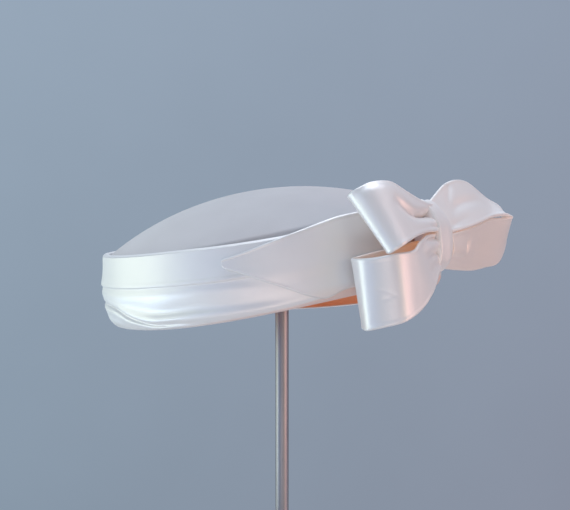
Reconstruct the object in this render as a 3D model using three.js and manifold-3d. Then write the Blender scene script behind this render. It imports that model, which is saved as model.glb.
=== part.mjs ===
// Pillbox hat with a satin bow, resting on a plain stand.
// Millimetres, +Z up. The origin is the middle of the stand's underside, and the hat's front is -Y,
// so its bow is at +Y and the wearer's left is +X. Angles go round the hat from the bow towards +X.

import * as THREE from 'three';
import { mergeVertices } from 'three/addons/utils/BufferGeometryUtils.js';
import Module from 'manifold-3d';

const wasm = await Module();
wasm.setup();

const GAP = 0.3; // between pieces that touch
const degrees = THREE.MathUtils.degToRad;

// Driving sizes of the hat
const hat = {
  halfWidth: 90.5, // from the middle to the outside of the band, at the sides
  halfLength: 95.3, // the same, at the front and the back
  forward: 3.3, // the middle of the hat lies this far in front of the rod
  rimHeight: 229.5, // of the middle of the rim above the surface that the stand rests on
  tilt: degrees(8.1), // the back is higher than the front
  rimWave: 4.3, // the rim rises by this at the front and back, and drops by it at the sides
};
const band = {
  height: 38.8,
  wall: 2.6,
  turnIn: 4, // how far the lower edge is drawn in
  bulge: 2.6, // how far the band swells out between its folds at the front
  foldDepth: 1.3,
  roll: 1.4, // rounding of the top edge
};
const crown = {
  rise: 27.9, // of the dome above the band
  wall: 1.6,
  skirt: 4, // how far it reaches down inside the band
};
const strip = { wall: 1.4 };

// Driving sizes of the bow
const bow = {
  height: 27.5, // of the middle of the knot above the rim, up the back of the band
  leftReach: 64, // from the middle of the knot to the folded ends
  rightReach: 64,
  standOff: 16, // how far the knot stands out from the strip
  ribbonWidth: 38,
  ribbonWall: 1.5,
  gatherWidth: 0.2, // share of the ribbon's width
  knotWidth: 19,
  knotHeight: 39,
};

// Driving sizes of the stand
const stand = {
  rodDiameter: 7.5,
  topDiameter: 76,
  topRadius: 72, // of the top's rounding
  topWall: 5,
  bossDiameter: 24, // of the socket's wall under the top
  baseDiameter: 160,
  baseEdge: 5, // thickness of the base at its edge
  baseRise: 8, // of the base's low dome, from its edge to its middle
  socketDepth: 6,
  bevel: 1.5,
};

// Folds of the band: each is a groove along the band, from row to row.
// turn: angle from the bow, rise: share of the band's height, depth: share of band.foldDepth.
const bandFolds = [
  {
    width: 0.045, // share of the band's height
    rows: [
      { turn: 30, rise: 0.52, depth: 0.0 },
      { turn: 67, rise: 0.539, depth: 0.7 },
      { turn: 95, rise: 0.544, depth: 0.9 },
      { turn: 116, rise: 0.565, depth: 1.0 },
      { turn: 147, rise: 0.56, depth: 1.0 },
      { turn: 185, rise: 0.55, depth: 0.8 },
      { turn: 225, rise: 0.5, depth: 0.7 },
      { turn: 265, rise: 0.44, depth: 0.6 },
      { turn: 310, rise: 0.4, depth: 0.0 },
    ],
  },
  {
    width: 0.05,
    rows: [
      { turn: 90, rise: 0.02, depth: 0.0 },
      { turn: 105, rise: 0.079, depth: 0.8 },
      { turn: 112, rise: 0.156, depth: 1.0 },
      { turn: 121, rise: 0.257, depth: 1.0 },
      { turn: 135, rise: 0.32, depth: 0.8 },
      { turn: 165, rise: 0.36, depth: 0.0 },
    ],
  },
  {
    width: 0.1,
    rows: [
      { turn: 45, rise: 0.19, depth: 0.0 },
      { turn: 77, rise: 0.206, depth: 0.5 },
      { turn: 97, rise: 0.19, depth: 0.8 },
      { turn: 110, rise: 0.27, depth: 0.4 },
      { turn: 120, rise: 0.35, depth: 0.0 },
    ],
  },
  {
    width: 0.07,
    rows: [
      { turn: 165, rise: 0.22, depth: 0.0 },
      { turn: 200, rise: 0.24, depth: 0.7 },
      { turn: 240, rise: 0.2, depth: 0.8 },
      { turn: 285, rise: 0.16, depth: 0.5 },
      { turn: 325, rise: 0.14, depth: 0.0 },
    ],
  },
  {
    width: 0.06,
    rows: [
      { turn: 190, rise: 0.8, depth: 0.0 },
      { turn: 230, rise: 0.76, depth: 0.6 },
      { turn: 275, rise: 0.7, depth: 0.7 },
      { turn: 320, rise: 0.62, depth: 0.4 },
      { turn: 350, rise: 0.6, depth: 0.0 },
    ],
  },
];

// Height of the band's top edge round the hat. top: share of band.height.
const bandTops = [
  { turn: 0, top: 1.0 },
  { turn: 30, top: 0.985 },
  { turn: 52, top: 0.95 },
  { turn: 72, top: 0.98 },
  { turn: 88, top: 1.015 },
  { turn: 110, top: 1.03 },
  { turn: 180, top: 1.03 },
  { turn: 250, top: 1.01 },
  { turn: 310, top: 1.0 },
  { turn: 360, top: 1.0 },
];

// Outside of the band from its lower edge to its top edge.
// rise: share of the height there, inset: share of band.turnIn, swell: share of band.bulge.
const bandSection = [
  { rise: 0.0, inset: 1.0, swell: 0.0 },
  { rise: 0.03, inset: 0.78, swell: 0.3 },
  { rise: 0.1, inset: 0.43, swell: 0.6 },
  { rise: 0.24, inset: 0.29, swell: 0.9 },
  { rise: 0.34, inset: 0.22, swell: 0.95 },
  { rise: 0.47, inset: 0.03, swell: 1.0 },
  { rise: 0.63, inset: 0.0, swell: 0.54 },
  { rise: 0.79, inset: 0.0, swell: 0.21 },
  { rise: 1.0, inset: 0.12, swell: 0.0 },
];

// The strip from its pointed tip to its end under the bow. low, high: shares of band.height.
const stripRows = [
  { turn: 72.6, low: 0.72, high: 0.78 },
  { turn: 70.2, low: 0.65, high: 0.803 },
  { turn: 66, low: 0.547, high: 0.838 },
  { turn: 61.6, low: 0.439, high: 0.868 },
  { turn: 55.7, low: 0.31, high: 0.918 },
  { turn: 51.3, low: 0.202, high: 0.948 },
  { turn: 46.8, low: 0.104, high: 0.98 },
  { turn: 42, low: 0.048, high: 1.015 },
  { turn: 36, low: 0.105, high: 1.05 },
  { turn: 28, low: 0.118, high: 1.06 },
  { turn: 10, low: 0.12, high: 1.06 },
  { turn: -6, low: 0.12, high: 1.05 },
  { turn: -16, low: 0.15, high: 1.02 },
];

// The loops of ribbon, each from its back layer at the knot, round its folded end, to its front layer.
// top and low are the ribbon's two edges. Across: share of the loop's reach, out: share of bow.standOff,
// up: share of bow.ribbonWidth. gather: depth of the lengthwise gather, share of bow.standOff.
const upperLoopRows = [
  { topAcross: 0.06, topOut: 0.22, topUp: 0.34, lowAcross: 0.06, lowOut: 0.24, lowUp: 0.08, gather: 0 },
  { topAcross: 0.22, topOut: 0.13, topUp: 0.42, lowAcross: 0.22, lowOut: 0.24, lowUp: 0.06, gather: 0 },
  { topAcross: 0.48, topOut: -0.02, topUp: 0.55, lowAcross: 0.5, lowOut: 0.28, lowUp: -0.02, gather: 0 },
  { topAcross: 0.74, topOut: -0.36, topUp: 0.63, lowAcross: 0.76, lowOut: 0.34, lowUp: -0.11, gather: 0 },
  { topAcross: 0.88, topOut: -0.6, topUp: 0.62, lowAcross: 0.9, lowOut: 0.48, lowUp: -0.19, gather: 0 },
  { topAcross: 0.95, topOut: -0.58, topUp: 0.6, lowAcross: 0.96, lowOut: 0.61, lowUp: -0.21, gather: 0 },
  { topAcross: 0.98, topOut: -0.2, topUp: 0.67, lowAcross: 0.97, lowOut: 0.88, lowUp: -0.18, gather: 0 },
  { topAcross: 0.89, topOut: 0.2, topUp: 0.76, lowAcross: 0.9, lowOut: 1.1, lowUp: -0.11, gather: 0.05 },
  { topAcross: 0.72, topOut: 0.51, topUp: 0.76, lowAcross: 0.7, lowOut: 1.11, lowUp: -0.02, gather: 0.12 },
  { topAcross: 0.52, topOut: 0.66, topUp: 0.58, lowAcross: 0.5, lowOut: 1.08, lowUp: 0.03, gather: 0.19 },
  { topAcross: 0.31, topOut: 0.64, topUp: 0.48, lowAcross: 0.34, lowOut: 1.02, lowUp: 0.04, gather: 0.2 },
  { topAcross: 0.06, topOut: 0.54, topUp: 0.43, lowAcross: 0.06, lowOut: 0.72, lowUp: 0.05, gather: 0.12 },
];
const lowerLoopRows = [
  { topAcross: 0.06, topOut: 0.2, topUp: -0.03, lowAcross: 0.06, lowOut: 0.2, lowUp: -0.36, gather: 0 },
  { topAcross: 0.22, topOut: 0.12, topUp: -0.04, lowAcross: 0.22, lowOut: 0.14, lowUp: -0.6, gather: 0 },
  { topAcross: 0.48, topOut: -0.04, topUp: -0.1, lowAcross: 0.46, lowOut: -0.16, lowUp: -0.92, gather: 0 },
  { topAcross: 0.75, topOut: -0.46, topUp: -0.16, lowAcross: 0.72, lowOut: -0.52, lowUp: -1.07, gather: 0 },
  { topAcross: 0.9, topOut: -0.78, topUp: -0.2, lowAcross: 0.88, lowOut: -0.8, lowUp: -1.12, gather: 0 },
  { topAcross: 0.94, topOut: -0.74, topUp: -0.21, lowAcross: 0.93, lowOut: -0.72, lowUp: -1.13, gather: 0 },
  { topAcross: 0.98, topOut: -0.32, topUp: -0.22, lowAcross: 0.97, lowOut: -0.35, lowUp: -1.14, gather: 0 },
  { topAcross: 0.96, topOut: 0.19, topUp: -0.22, lowAcross: 0.94, lowOut: 0.2, lowUp: -1.12, gather: 0 },
  { topAcross: 0.87, topOut: 0.77, topUp: -0.2, lowAcross: 0.85, lowOut: 0.72, lowUp: -1.08, gather: 0 },
  { topAcross: 0.77, topOut: 1.14, topUp: -0.18, lowAcross: 0.73, lowOut: 1.08, lowUp: -0.96, gather: 0.05 },
  { topAcross: 0.66, topOut: 1.2, topUp: -0.08, lowAcross: 0.52, lowOut: 1.17, lowUp: -0.72, gather: 0.1 },
  { topAcross: 0.49, topOut: 1.08, topUp: 0, lowAcross: 0.33, lowOut: 0.98, lowUp: -0.53, gather: 0.14 },
  { topAcross: 0.06, topOut: 0.64, topUp: 0.03, lowAcross: 0.06, lowOut: 0.64, lowUp: -0.39, gather: 0.1 },
];
// The far loop is pinched along its outer edge, top here, and open along the edge nearest the hat, low here.
const rightLoopRows = [
  { topAcross: 0.06, topOut: 0.72, topUp: 0, lowAcross: 0.06, lowOut: 0.3, lowUp: -0.44, gather: 0 },
  { topAcross: 0.3, topOut: 0.88, topUp: 0.05, lowAcross: 0.33, lowOut: 0.33, lowUp: -0.49, gather: 0.08 },
  { topAcross: 0.53, topOut: 0.98, topUp: 0.13, lowAcross: 0.6, lowOut: 0.33, lowUp: -0.52, gather: 0.05 },
  { topAcross: 0.76, topOut: 1.02, topUp: 0.19, lowAcross: 0.84, lowOut: 0.38, lowUp: -0.5, gather: 0 },
  { topAcross: 0.94, topOut: 1.15, topUp: 0.19, lowAcross: 1.13, lowOut: 0.41, lowUp: -0.44, gather: 0 },
  { topAcross: 1.04, topOut: 1.3, topUp: 0.2, lowAcross: 1.31, lowOut: 0.46, lowUp: -0.12, gather: 0 },
  { topAcross: 0.94, topOut: 1.26, topUp: 0.22, lowAcross: 1.19, lowOut: 0.66, lowUp: 0.32, gather: 0 },
  { topAcross: 0.76, topOut: 1.15, topUp: 0.21, lowAcross: 0.98, lowOut: 0.5, lowUp: 0.51, gather: 0 },
  { topAcross: 0.53, topOut: 1.12, topUp: 0.14, lowAcross: 0.68, lowOut: 0.32, lowUp: 0.77, gather: 0.07 },
  { topAcross: 0.3, topOut: 1.02, topUp: 0.07, lowAcross: 0.42, lowOut: 0.19, lowUp: 0.76, gather: 0.14 },
  { topAcross: 0.06, topOut: 0.86, topUp: 0.02, lowAcross: 0.06, lowOut: 0.18, lowUp: 0.5, gather: 0.08 },
];
// side: 1 is the wearer's left. gatherAt: where the gather lies across the ribbon, from its top edge.
const bowLoops = [
  { name: 'bow_loop_upper', rows: upperLoopRows, reach: bow.leftReach, side: 1, gatherAt: 0.45 },
  { name: 'bow_loop_lower', rows: lowerLoopRows, reach: bow.leftReach, side: 1, gatherAt: 0.5 },
  { name: 'bow_loop_right', rows: rightLoopRows, reach: bow.rightReach, side: -1, gatherAt: 0.5 },
];

// The knot seen along the bow: its outline from its top, over the front, down and back along the strip.
// out: share of bow.standOff, up: share of bow.knotHeight.
const knotOutline = [
  { out: 0.12, up: 0.45 },
  { out: 0.4, up: 0.49 },
  { out: 0.66, up: 0.39 },
  { out: 0.84, up: 0.26 },
  { out: 0.95, up: 0.12 },
  { out: 0.97, up: -0.03 },
  { out: 0.93, up: -0.22 },
  { out: 0.8, up: -0.38 },
  { out: 0.5, up: -0.48 },
  { out: 0.15, up: -0.45 },
  { out: 0, up: -0.3 },
  { out: 0, up: 0 },
  { out: 0, up: 0.3 },
];
// The knot from one side to the other. across: share of half its width, size: of its outline.
const knotSections = [
  { across: -1, size: 0.76 },
  { across: -0.9, size: 0.85 },
  { across: -0.5, size: 0.97 },
  { across: 0, size: 1 },
  { across: 0.5, size: 0.99 },
  { across: 0.9, size: 1 },
  { across: 1, size: 0.92 },
];

// The dome of the crown is part of a sphere, drawn to the hat's oval, that starts inside the top of the band
const meanRadius = (hat.halfWidth + hat.halfLength) / 2;
const edgeInset = band.turnIn * bandSection[bandSection.length - 1].inset + band.wall + band.foldDepth + GAP;
const edgeRadius = meanRadius - edgeInset;
const domeRadius = (edgeRadius ** 2 + crown.rise ** 2) / (2 * crown.rise);

// Steps of the faceted surfaces
const ROUND_STEPS = 64;
const STRIP_STEPS = 32;
const RIBBON_STEPS_PER_ROW = 3;
const RIBBON_COLUMNS = 6;
const KNOT_STEPS = 28;
const DOME_STEPS = 8;
const PAD_ARC_STEPS = 5;
const PAD_STEPS = 24;
const ROD_STEPS = 16;
const BASE_STEPS = 40;
const BASE_ARC_STEPS = 4;

/** Reads a column of a table smoothly between its rows, whose key column rises or falls steadily. */
function readTable(rows, key, column, at) {
  const falling = rows[0][key] > rows[rows.length - 1][key];
  const table = falling ? [...rows].reverse() : rows;
  const x = THREE.MathUtils.clamp(at, table[0][key], table[table.length - 1][key]);
  let i = 0;
  while (i < table.length - 2 && x > table[i + 1][key]) i += 1;
  const slope = (low, high) => {
    const [from, to] = [table[low], table[high]];
    return (to[column] - from[column]) / (to[key] - from[key]);
  };
  const span = table[i + 1][key] - table[i][key];
  const startSlope = i > 0 ? slope(i - 1, i + 1) : slope(i, i + 1);
  const endSlope = i < table.length - 2 ? slope(i, i + 2) : slope(i, i + 1);
  const s = (x - table[i][key]) / span;
  const whole = table[i][column] * (1 + 2 * s) * (1 - s) ** 2 + table[i + 1][column] * s * s * (3 - 2 * s);
  return whole + span * (startSlope * s * (1 - s) ** 2 - endSlope * s * s * (1 - s));
}

/** Adds the faces of a grid of points to a list of corners. Either way of the grid can close on itself. */
function addGrid(corners, grid, closeRows, closeColumns) {
  const rowCount = grid.length;
  const columnCount = grid[0].length;
  for (let i = 0; i < (closeRows ? rowCount : rowCount - 1); i += 1) {
    for (let j = 0; j < (closeColumns ? columnCount : columnCount - 1); j += 1) {
      const a = grid[i][j];
      const b = grid[(i + 1) % rowCount][j];
      const c = grid[(i + 1) % rowCount][(j + 1) % columnCount];
      const d = grid[i][(j + 1) % columnCount];
      corners.push(a, b, c, a, c, d);
    }
  }
}

/** A closed body from a list of corners, three to a face: shared corners merged, faces outwards. */
function bodyFromCorners(corners) {
  const loose = new THREE.BufferGeometry().setFromPoints(corners);
  const merged = mergeVertices(loose, 1e-4);
  const old = merged.index.array;
  const kept = [];
  for (let i = 0; i < old.length; i += 3) {
    const [a, b, c] = [old[i], old[i + 1], old[i + 2]];
    if (a !== b && b !== c && c !== a) kept.push(a, b, c);
  }
  if (signedVolume(merged.attributes.position, kept) < 0) kept.reverse();
  merged.setIndex(kept);
  merged.computeVertexNormals();
  return merged;
}

/** Six times the volume inside a closed set of faces, negative if they face inwards. */
function signedVolume(position, index) {
  const [a, b, c] = [new THREE.Vector3(), new THREE.Vector3(), new THREE.Vector3()];
  let total = 0;
  for (let i = 0; i < index.length; i += 3) {
    a.fromBufferAttribute(position, index[i]);
    b.fromBufferAttribute(position, index[i + 1]);
    c.fromBufferAttribute(position, index[i + 2]);
    total += a.dot(b.cross(c));
  }
  return total;
}

/** A sheet with a thickness, from the points of its two faces. */
function sheetBody(front, back) {
  const corners = [];
  const loops = front.map((row, i) => [...row, ...[...back[i]].reverse()]);
  addGrid(corners, loops, false, true);
  const last = front.length - 1;
  addGrid(corners, [back[0], front[0]], false, false);
  addGrid(corners, [front[last], back[last]], false, false);
  return bodyFromCorners(corners);
}

/** A body with a closed section all the way along, its two ends closed by a fan. */
function loftBody(loops) {
  const corners = [];
  addGrid(corners, loops, false, true);
  for (const [loop, turned] of [[loops[0], false], [loops[loops.length - 1], true]]) {
    const middle = new THREE.Vector3();
    for (const point of loop) middle.addScaledVector(point, 1 / loop.length);
    loop.forEach((point, j) => {
      const next = loop[(j + 1) % loop.length];
      corners.push(middle, turned ? next : point, turned ? point : next);
    });
  }
  return bodyFromCorners(corners);
}

/** The mesh that the solid library wants, from a closed geometry. */
function solidOf(geometry) {
  const vertProperties = new Float32Array(geometry.attributes.position.array);
  const triVerts = new Uint32Array(geometry.index.array);
  return new wasm.Manifold(new wasm.Mesh({ numProp: 3, vertProperties, triVerts }));
}

/** One closed geometry less another. */
function cutBy(geometry, cutter) {
  const { vertProperties, triVerts } = solidOf(geometry).subtract(solidOf(cutter)).getMesh();
  const cut = new THREE.BufferGeometry();
  cut.setAttribute('position', new THREE.BufferAttribute(vertProperties, 3));
  cut.setIndex(new THREE.BufferAttribute(triVerts, 1));
  cut.computeVertexNormals();
  return cut;
}

/** How far the rim rises above its mean at an angle from the bow. */
function rimLift(angle) {
  return hat.rimWave * Math.cos(2 * angle);
}

/** A point of the hat: at an angle, this far out from its nominal oval, this high above the rim. */
function hatPoint(angle, outward, height) {
  const across = (hat.halfWidth + outward) * Math.sin(angle);
  const along = (hat.halfLength + outward) * Math.cos(angle);
  return new THREE.Vector3(across, along, height + rimLift(angle));
}

/** How far the band stands out from the oval at an angle and a share of its height, folds left out. */
function bandStand(angle, rise) {
  const swell = band.bulge * readTable(bandSection, 'rise', 'swell', rise) * Math.sin(angle / 2) ** 2;
  return swell - band.turnIn * readTable(bandSection, 'rise', 'inset', rise);
}

/** Depth of the folds in the band at a place on it. */
function foldDepth(angle, rise) {
  const turn = (THREE.MathUtils.radToDeg(angle) + 360) % 360;
  let depth = 0;
  for (const { width, rows } of bandFolds) {
    if (turn <= rows[0].turn || turn >= rows[rows.length - 1].turn) continue;
    const away = (rise - readTable(rows, 'turn', 'rise', turn)) / width;
    depth += Math.max(readTable(rows, 'turn', 'depth', turn), 0) * Math.exp(-away * away);
  }
  return band.foldDepth * Math.min(depth, 1);
}

/** The draped side band, open above and below. */
function makeSideBand() {
  // Shares of the height at which the faces bend
  const outerRises = [0.03, 0.09, 0.16, 0.23, 0.31, 0.4, 0.48, 0.55, 0.62, 0.72, 0.83, 0.93];
  const innerRises = [0.8, 0.45, 0.2];
  const fullWall = band.wall + band.foldDepth;
  const [rollIn, rollDown] = [band.roll * 0.3, band.roll * 0.5];
  const loops = [];
  for (let i = 0; i < ROUND_STEPS; i += 1) {
    const angle = (2 * Math.PI * i) / ROUND_STEPS;
    const turn = THREE.MathUtils.radToDeg(angle);
    const height = band.height * readTable(bandTops, 'turn', 'top', turn);
    const outer = outerRises.map((rise) => (
      hatPoint(angle, bandStand(angle, rise) - foldDepth(angle, rise), rise * height)));
    const topStand = bandStand(angle, 1);
    const top = [
      hatPoint(angle, topStand - rollIn, height - rollDown),
      hatPoint(angle, topStand - band.wall / 2, height),
      hatPoint(angle, topStand - fullWall + rollIn, height - rollDown),
    ];
    const inner = innerRises.map((rise) => (
      hatPoint(angle, bandStand(angle, rise) - fullWall, rise * height)));
    const low = hatPoint(angle, bandStand(angle, 0) - fullWall / 2, 0);
    loops.push([...outer, ...top, ...inner, low]);
  }
  const corners = [];
  addGrid(corners, loops, true, true);
  return bodyFromCorners(corners);
}

/** The domed crown: a thin shell with a skirt inside the band. */
function makeCrown() {
  const face = (angle, share, depth) => {
    const outward = edgeRadius * share;
    const dome = Math.sqrt((domeRadius - depth) ** 2 - (outward - depth * share) ** 2) - domeRadius;
    const point = hatPoint(angle, 0, 0);
    const reach = share * (1 - (edgeInset + depth) / meanRadius);
    return new THREE.Vector3(
      point.x * reach,
      point.y * reach,
      band.height + crown.rise + dome + rimLift(angle) * share * share,
    );
  };
  const profiles = [];
  for (let i = 0; i < ROUND_STEPS; i += 1) {
    const angle = (2 * Math.PI * i) / ROUND_STEPS;
    const outer = [];
    const inner = [];
    for (let j = 0; j <= DOME_STEPS; j += 1) {
      outer.push(face(angle, j / DOME_STEPS, 0));
      inner.unshift(face(angle, j / DOME_STEPS, crown.wall));
    }
    const skirt = [
      hatPoint(angle, -edgeInset, band.height - crown.skirt),
      hatPoint(angle, -edgeInset - crown.wall, band.height - crown.skirt),
    ];
    profiles.push([...outer, ...skirt, ...inner]);
  }
  const corners = [];
  addGrid(corners, profiles, true, false);
  return bodyFromCorners(corners);
}

/** The strip that lies over the band and runs under the bow. */
function makeWrapStrip() {
  const columns = 6;
  const crowding = 1.7; // of the columns towards the low edge, where the band curves most
  const start = stripRows[0].turn;
  const end = stripRows[stripRows.length - 1].turn;
  const front = [];
  const back = [];
  for (let i = 0; i <= STRIP_STEPS; i += 1) {
    const turn = THREE.MathUtils.lerp(start, end, i / STRIP_STEPS);
    const low = readTable(stripRows, 'turn', 'low', turn);
    const high = readTable(stripRows, 'turn', 'high', turn);
    const angle = degrees(turn);
    const row = (outward) => Array.from({ length: columns + 1 }, (_, j) => {
      const rise = THREE.MathUtils.lerp(low, high, (j / columns) ** crowding);
      return hatPoint(angle, GAP + bandStand(angle, rise) + outward, rise * band.height);
    });
    front.push(row(strip.wall));
    back.push(row(0));
  }
  return sheetBody(front, back);
}

/** A loop of ribbon from its table. */
function makeLoop({ rows, reach, side, gatherAt }) {
  const edge = (name) => new THREE.CatmullRomCurve3(rows.map((row) => new THREE.Vector3(
    side * reach * row[`${name}Across`],
    bow.standOff * row[`${name}Out`],
    bow.ribbonWidth * row[`${name}Up`],
  )), false, 'centripetal');
  const [top, low] = [edge('top'), edge('low')];
  const steps = (rows.length - 1) * RIBBON_STEPS_PER_ROW;
  const middle = [];
  const gathers = [];
  for (let i = 0; i <= steps; i += 1) {
    const [from, to] = [top.getPoint(i / steps), low.getPoint(i / steps)];
    const across = (_, j) => from.clone().lerp(to, j / RIBBON_COLUMNS);
    middle.push(Array.from({ length: RIBBON_COLUMNS + 1 }, across));
    const before = Math.floor(i / RIBBON_STEPS_PER_ROW);
    const after = Math.min(before + 1, rows.length - 1);
    const share = i / RIBBON_STEPS_PER_ROW - before;
    gathers.push(bow.standOff * THREE.MathUtils.lerp(rows[before].gather, rows[after].gather, share));
  }
  const normalAt = (i, j) => {
    const along = middle[Math.min(i + 1, steps)][j].clone().sub(middle[Math.max(i - 1, 0)][j]);
    const over = middle[i][Math.min(j + 1, RIBBON_COLUMNS)].clone().sub(middle[i][Math.max(j - 1, 0)]);
    return along.cross(over).normalize(); // towards the inside of the loop
  };
  const face = (offset) => middle.map((row, i) => row.map((point, j) => {
    const away = (j / RIBBON_COLUMNS - gatherAt) / bow.gatherWidth;
    const dip = gathers[i] * Math.exp(-away * away);
    return point.clone().addScaledVector(normalAt(i, j), offset + dip);
  }));
  return sheetBody(face(bow.ribbonWall / 2), face(-bow.ribbonWall / 2));
}

/** The gathered knot, or the room that it needs when it is grown by a clearance. */
function makeKnot(clearance) {
  const outline = new THREE.CatmullRomCurve3(knotOutline.map(({ out, up }) => (
    new THREE.Vector3(0, out * bow.standOff, up * bow.knotHeight))), true, 'centripetal');
  const centre = new THREE.Vector3(0, bow.standOff / 2, 0);
  const loops = knotSections.map(({ across, size }) => Array.from({ length: KNOT_STEPS }, (_, j) => {
    const spoke = outline.getPoint(j / KNOT_STEPS).sub(centre);
    const length = spoke.length();
    spoke.multiplyScalar(size + clearance / length).add(centre);
    spoke.x = across * (bow.knotWidth / 2 + clearance);
    return spoke;
  }));
  return loftBody(loops);
}

/** A round body from half its outline: rows of distance from the axis and height. */
function turned(rows, steps) {
  const outline = rows.map(([radius, height]) => new THREE.Vector2(radius, height));
  return new THREE.LatheGeometry(outline, steps).rotateX(Math.PI / 2);
}

const satin = () => new THREE.MeshStandardMaterial({ color: 0xf1ede6, roughness: 0.35, metalness: 0 });
const crepe = () => new THREE.MeshStandardMaterial({ color: 0xe6e2dc, roughness: 0.9, metalness: 0 });
const steel = () => new THREE.MeshStandardMaterial({ color: 0xb9b6b8, roughness: 0.3, metalness: 1 });
const paint = () => new THREE.MeshStandardMaterial({ color: 0xd8d6d2, roughness: 0.6, metalness: 0 });

function named(name, geometry, material) {
  const mesh = new THREE.Mesh(geometry, material);
  mesh.name = name;
  return mesh;
}

// The hat, tilted as a whole about the middle of its rim
const hatGroup = new THREE.Group();
hatGroup.position.set(0, -hat.forward, hat.rimHeight);
hatGroup.rotation.x = hat.tilt;
hatGroup.add(named('crown', makeCrown(), crepe()));
hatGroup.add(named('side_band', makeSideBand(), satin()));
hatGroup.add(named('wrap_strip', makeWrapStrip(), satin()));

// The bow, on the outside of the strip at the back
const bowGroup = new THREE.Group();
bowGroup.position.set(0, hat.halfLength + GAP + strip.wall + GAP, bow.height);
const knotRoom = makeKnot(GAP);
bowGroup.add(named('bow_knot', makeKnot(0), satin()));
for (const loop of bowLoops) {
  bowGroup.add(named(loop.name, cutBy(makeLoop(loop), knotRoom), satin()));
}
hatGroup.add(bowGroup);

// The inside of the crown is nearly a sphere, and the stand's top touches it where the two face each other
const innerRadius = domeRadius - crown.wall;
const domeCentre = band.height + crown.rise - domeRadius;
const centreAlong = -domeCentre * Math.sin(hat.tilt) - hat.forward;
const centreHeight = hat.rimHeight + domeCentre * Math.cos(hat.tilt);
const apart = innerRadius - stand.topRadius - GAP;
const topCentre = centreHeight + Math.sqrt(apart ** 2 - centreAlong ** 2);
const topPeak = topCentre + stand.topRadius;

/** The domed pad that carries the crown, with a socket for the rod. */
function makeStandTop() {
  const radius = stand.topDiameter / 2;
  const rows = [];
  const widest = Math.asin(radius / stand.topRadius);
  const socket = stand.rodDiameter / 2 + GAP;
  const under = topPeak - stand.topWall - stand.socketDepth;
  const rim = topCentre + Math.sqrt(stand.topRadius ** 2 - radius ** 2);
  rows.push([0, under + stand.socketDepth], [socket, under + stand.socketDepth], [socket, under]);
  rows.push([stand.bossDiameter / 2, under], [stand.bossDiameter / 2, under + stand.bevel]);
  rows.push([radius, rim - stand.bevel]);
  for (let i = PAD_ARC_STEPS; i >= 0; i -= 1) {
    const angle = (widest * i) / PAD_ARC_STEPS;
    rows.push([stand.topRadius * Math.sin(angle), topCentre + stand.topRadius * Math.cos(angle)]);
  }
  rows[rows.length - 1][0] = 0;
  return turned(rows, PAD_STEPS);
}

/** The rod, from its socket in the base to its socket in the top. */
function makeStandRod() {
  const low = stand.baseEdge + stand.baseRise - stand.socketDepth + GAP;
  const high = topPeak - stand.topWall - GAP;
  const radius = stand.rodDiameter / 2;
  return turned([[0, low], [radius, low], [radius, high], [0, high]], ROD_STEPS);
}

/** The round foot, a low dome with a socket for the rod. */
function makeStandBase() {
  const radius = stand.baseDiameter / 2;
  const socket = stand.rodDiameter / 2 + GAP;
  const floor = stand.baseEdge + stand.baseRise - stand.socketDepth;
  const rows = [[0, 0], [radius - stand.bevel, 0], [radius, stand.bevel]];
  rows.push([radius, stand.baseEdge - stand.bevel]);
  for (let i = BASE_ARC_STEPS; i >= 0; i -= 1) {
    const from = THREE.MathUtils.lerp(socket, radius - stand.bevel, i / BASE_ARC_STEPS);
    rows.push([from, stand.baseEdge + stand.baseRise * (1 - (from / radius) ** 2)]);
  }
  rows.push([socket, floor], [0, floor]);
  return turned(rows, BASE_STEPS);
}

const model = new THREE.Group();
model.add(named('stand_base', makeStandBase(), paint()));
model.add(named('stand_rod', makeStandRod(), steel()));
model.add(named('stand_top', makeStandTop(), paint()));
model.add(hatGroup);

export default model;
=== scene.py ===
"""Ivory pillbox hat with a satin bow on a plain stand: the cloth and finishes, built over the fixed frame.

Lengths are in metres, in the frame's own axes: Z up, the hat's front towards -Y, its bow at +Y, and the
wearer's left towards +X. An angle round the hat, called a turn, is counted in degrees from the bow
towards +X.
"""

import logging
import math
from collections.abc import Callable
from dataclasses import dataclass, field, replace
from enum import Enum

import bpy
import numpy as np
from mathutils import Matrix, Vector


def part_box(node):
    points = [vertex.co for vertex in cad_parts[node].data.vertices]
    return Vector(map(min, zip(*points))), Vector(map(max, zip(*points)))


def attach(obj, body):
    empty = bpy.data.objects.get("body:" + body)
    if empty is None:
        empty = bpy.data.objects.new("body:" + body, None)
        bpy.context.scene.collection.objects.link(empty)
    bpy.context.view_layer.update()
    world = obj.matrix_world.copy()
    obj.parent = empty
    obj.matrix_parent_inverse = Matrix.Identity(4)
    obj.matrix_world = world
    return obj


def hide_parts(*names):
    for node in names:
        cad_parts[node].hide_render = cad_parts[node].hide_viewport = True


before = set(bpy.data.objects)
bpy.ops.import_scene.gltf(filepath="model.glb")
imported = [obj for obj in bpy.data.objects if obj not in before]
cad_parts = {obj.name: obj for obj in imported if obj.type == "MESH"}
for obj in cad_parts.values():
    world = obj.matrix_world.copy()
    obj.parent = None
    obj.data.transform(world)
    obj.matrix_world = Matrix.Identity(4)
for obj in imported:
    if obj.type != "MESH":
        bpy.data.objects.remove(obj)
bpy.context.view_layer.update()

MM = 0.001
log = logging.getLogger("pillbox_hat")

Colour = tuple[float, float, float]
Socket = bpy.types.NodeSocket
Placing = Callable[[np.ndarray], np.ndarray]
Run = tuple[float, float, int]

# A ribbon's area, as RibbonSkin.area reckons it, is at least this share of its flat rectangle.
LEAST_CUT = 0.31
# The stand and the table top look smooth across edges that turn by less than this.
SMOOTH_BELOW = math.radians(40)


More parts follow.
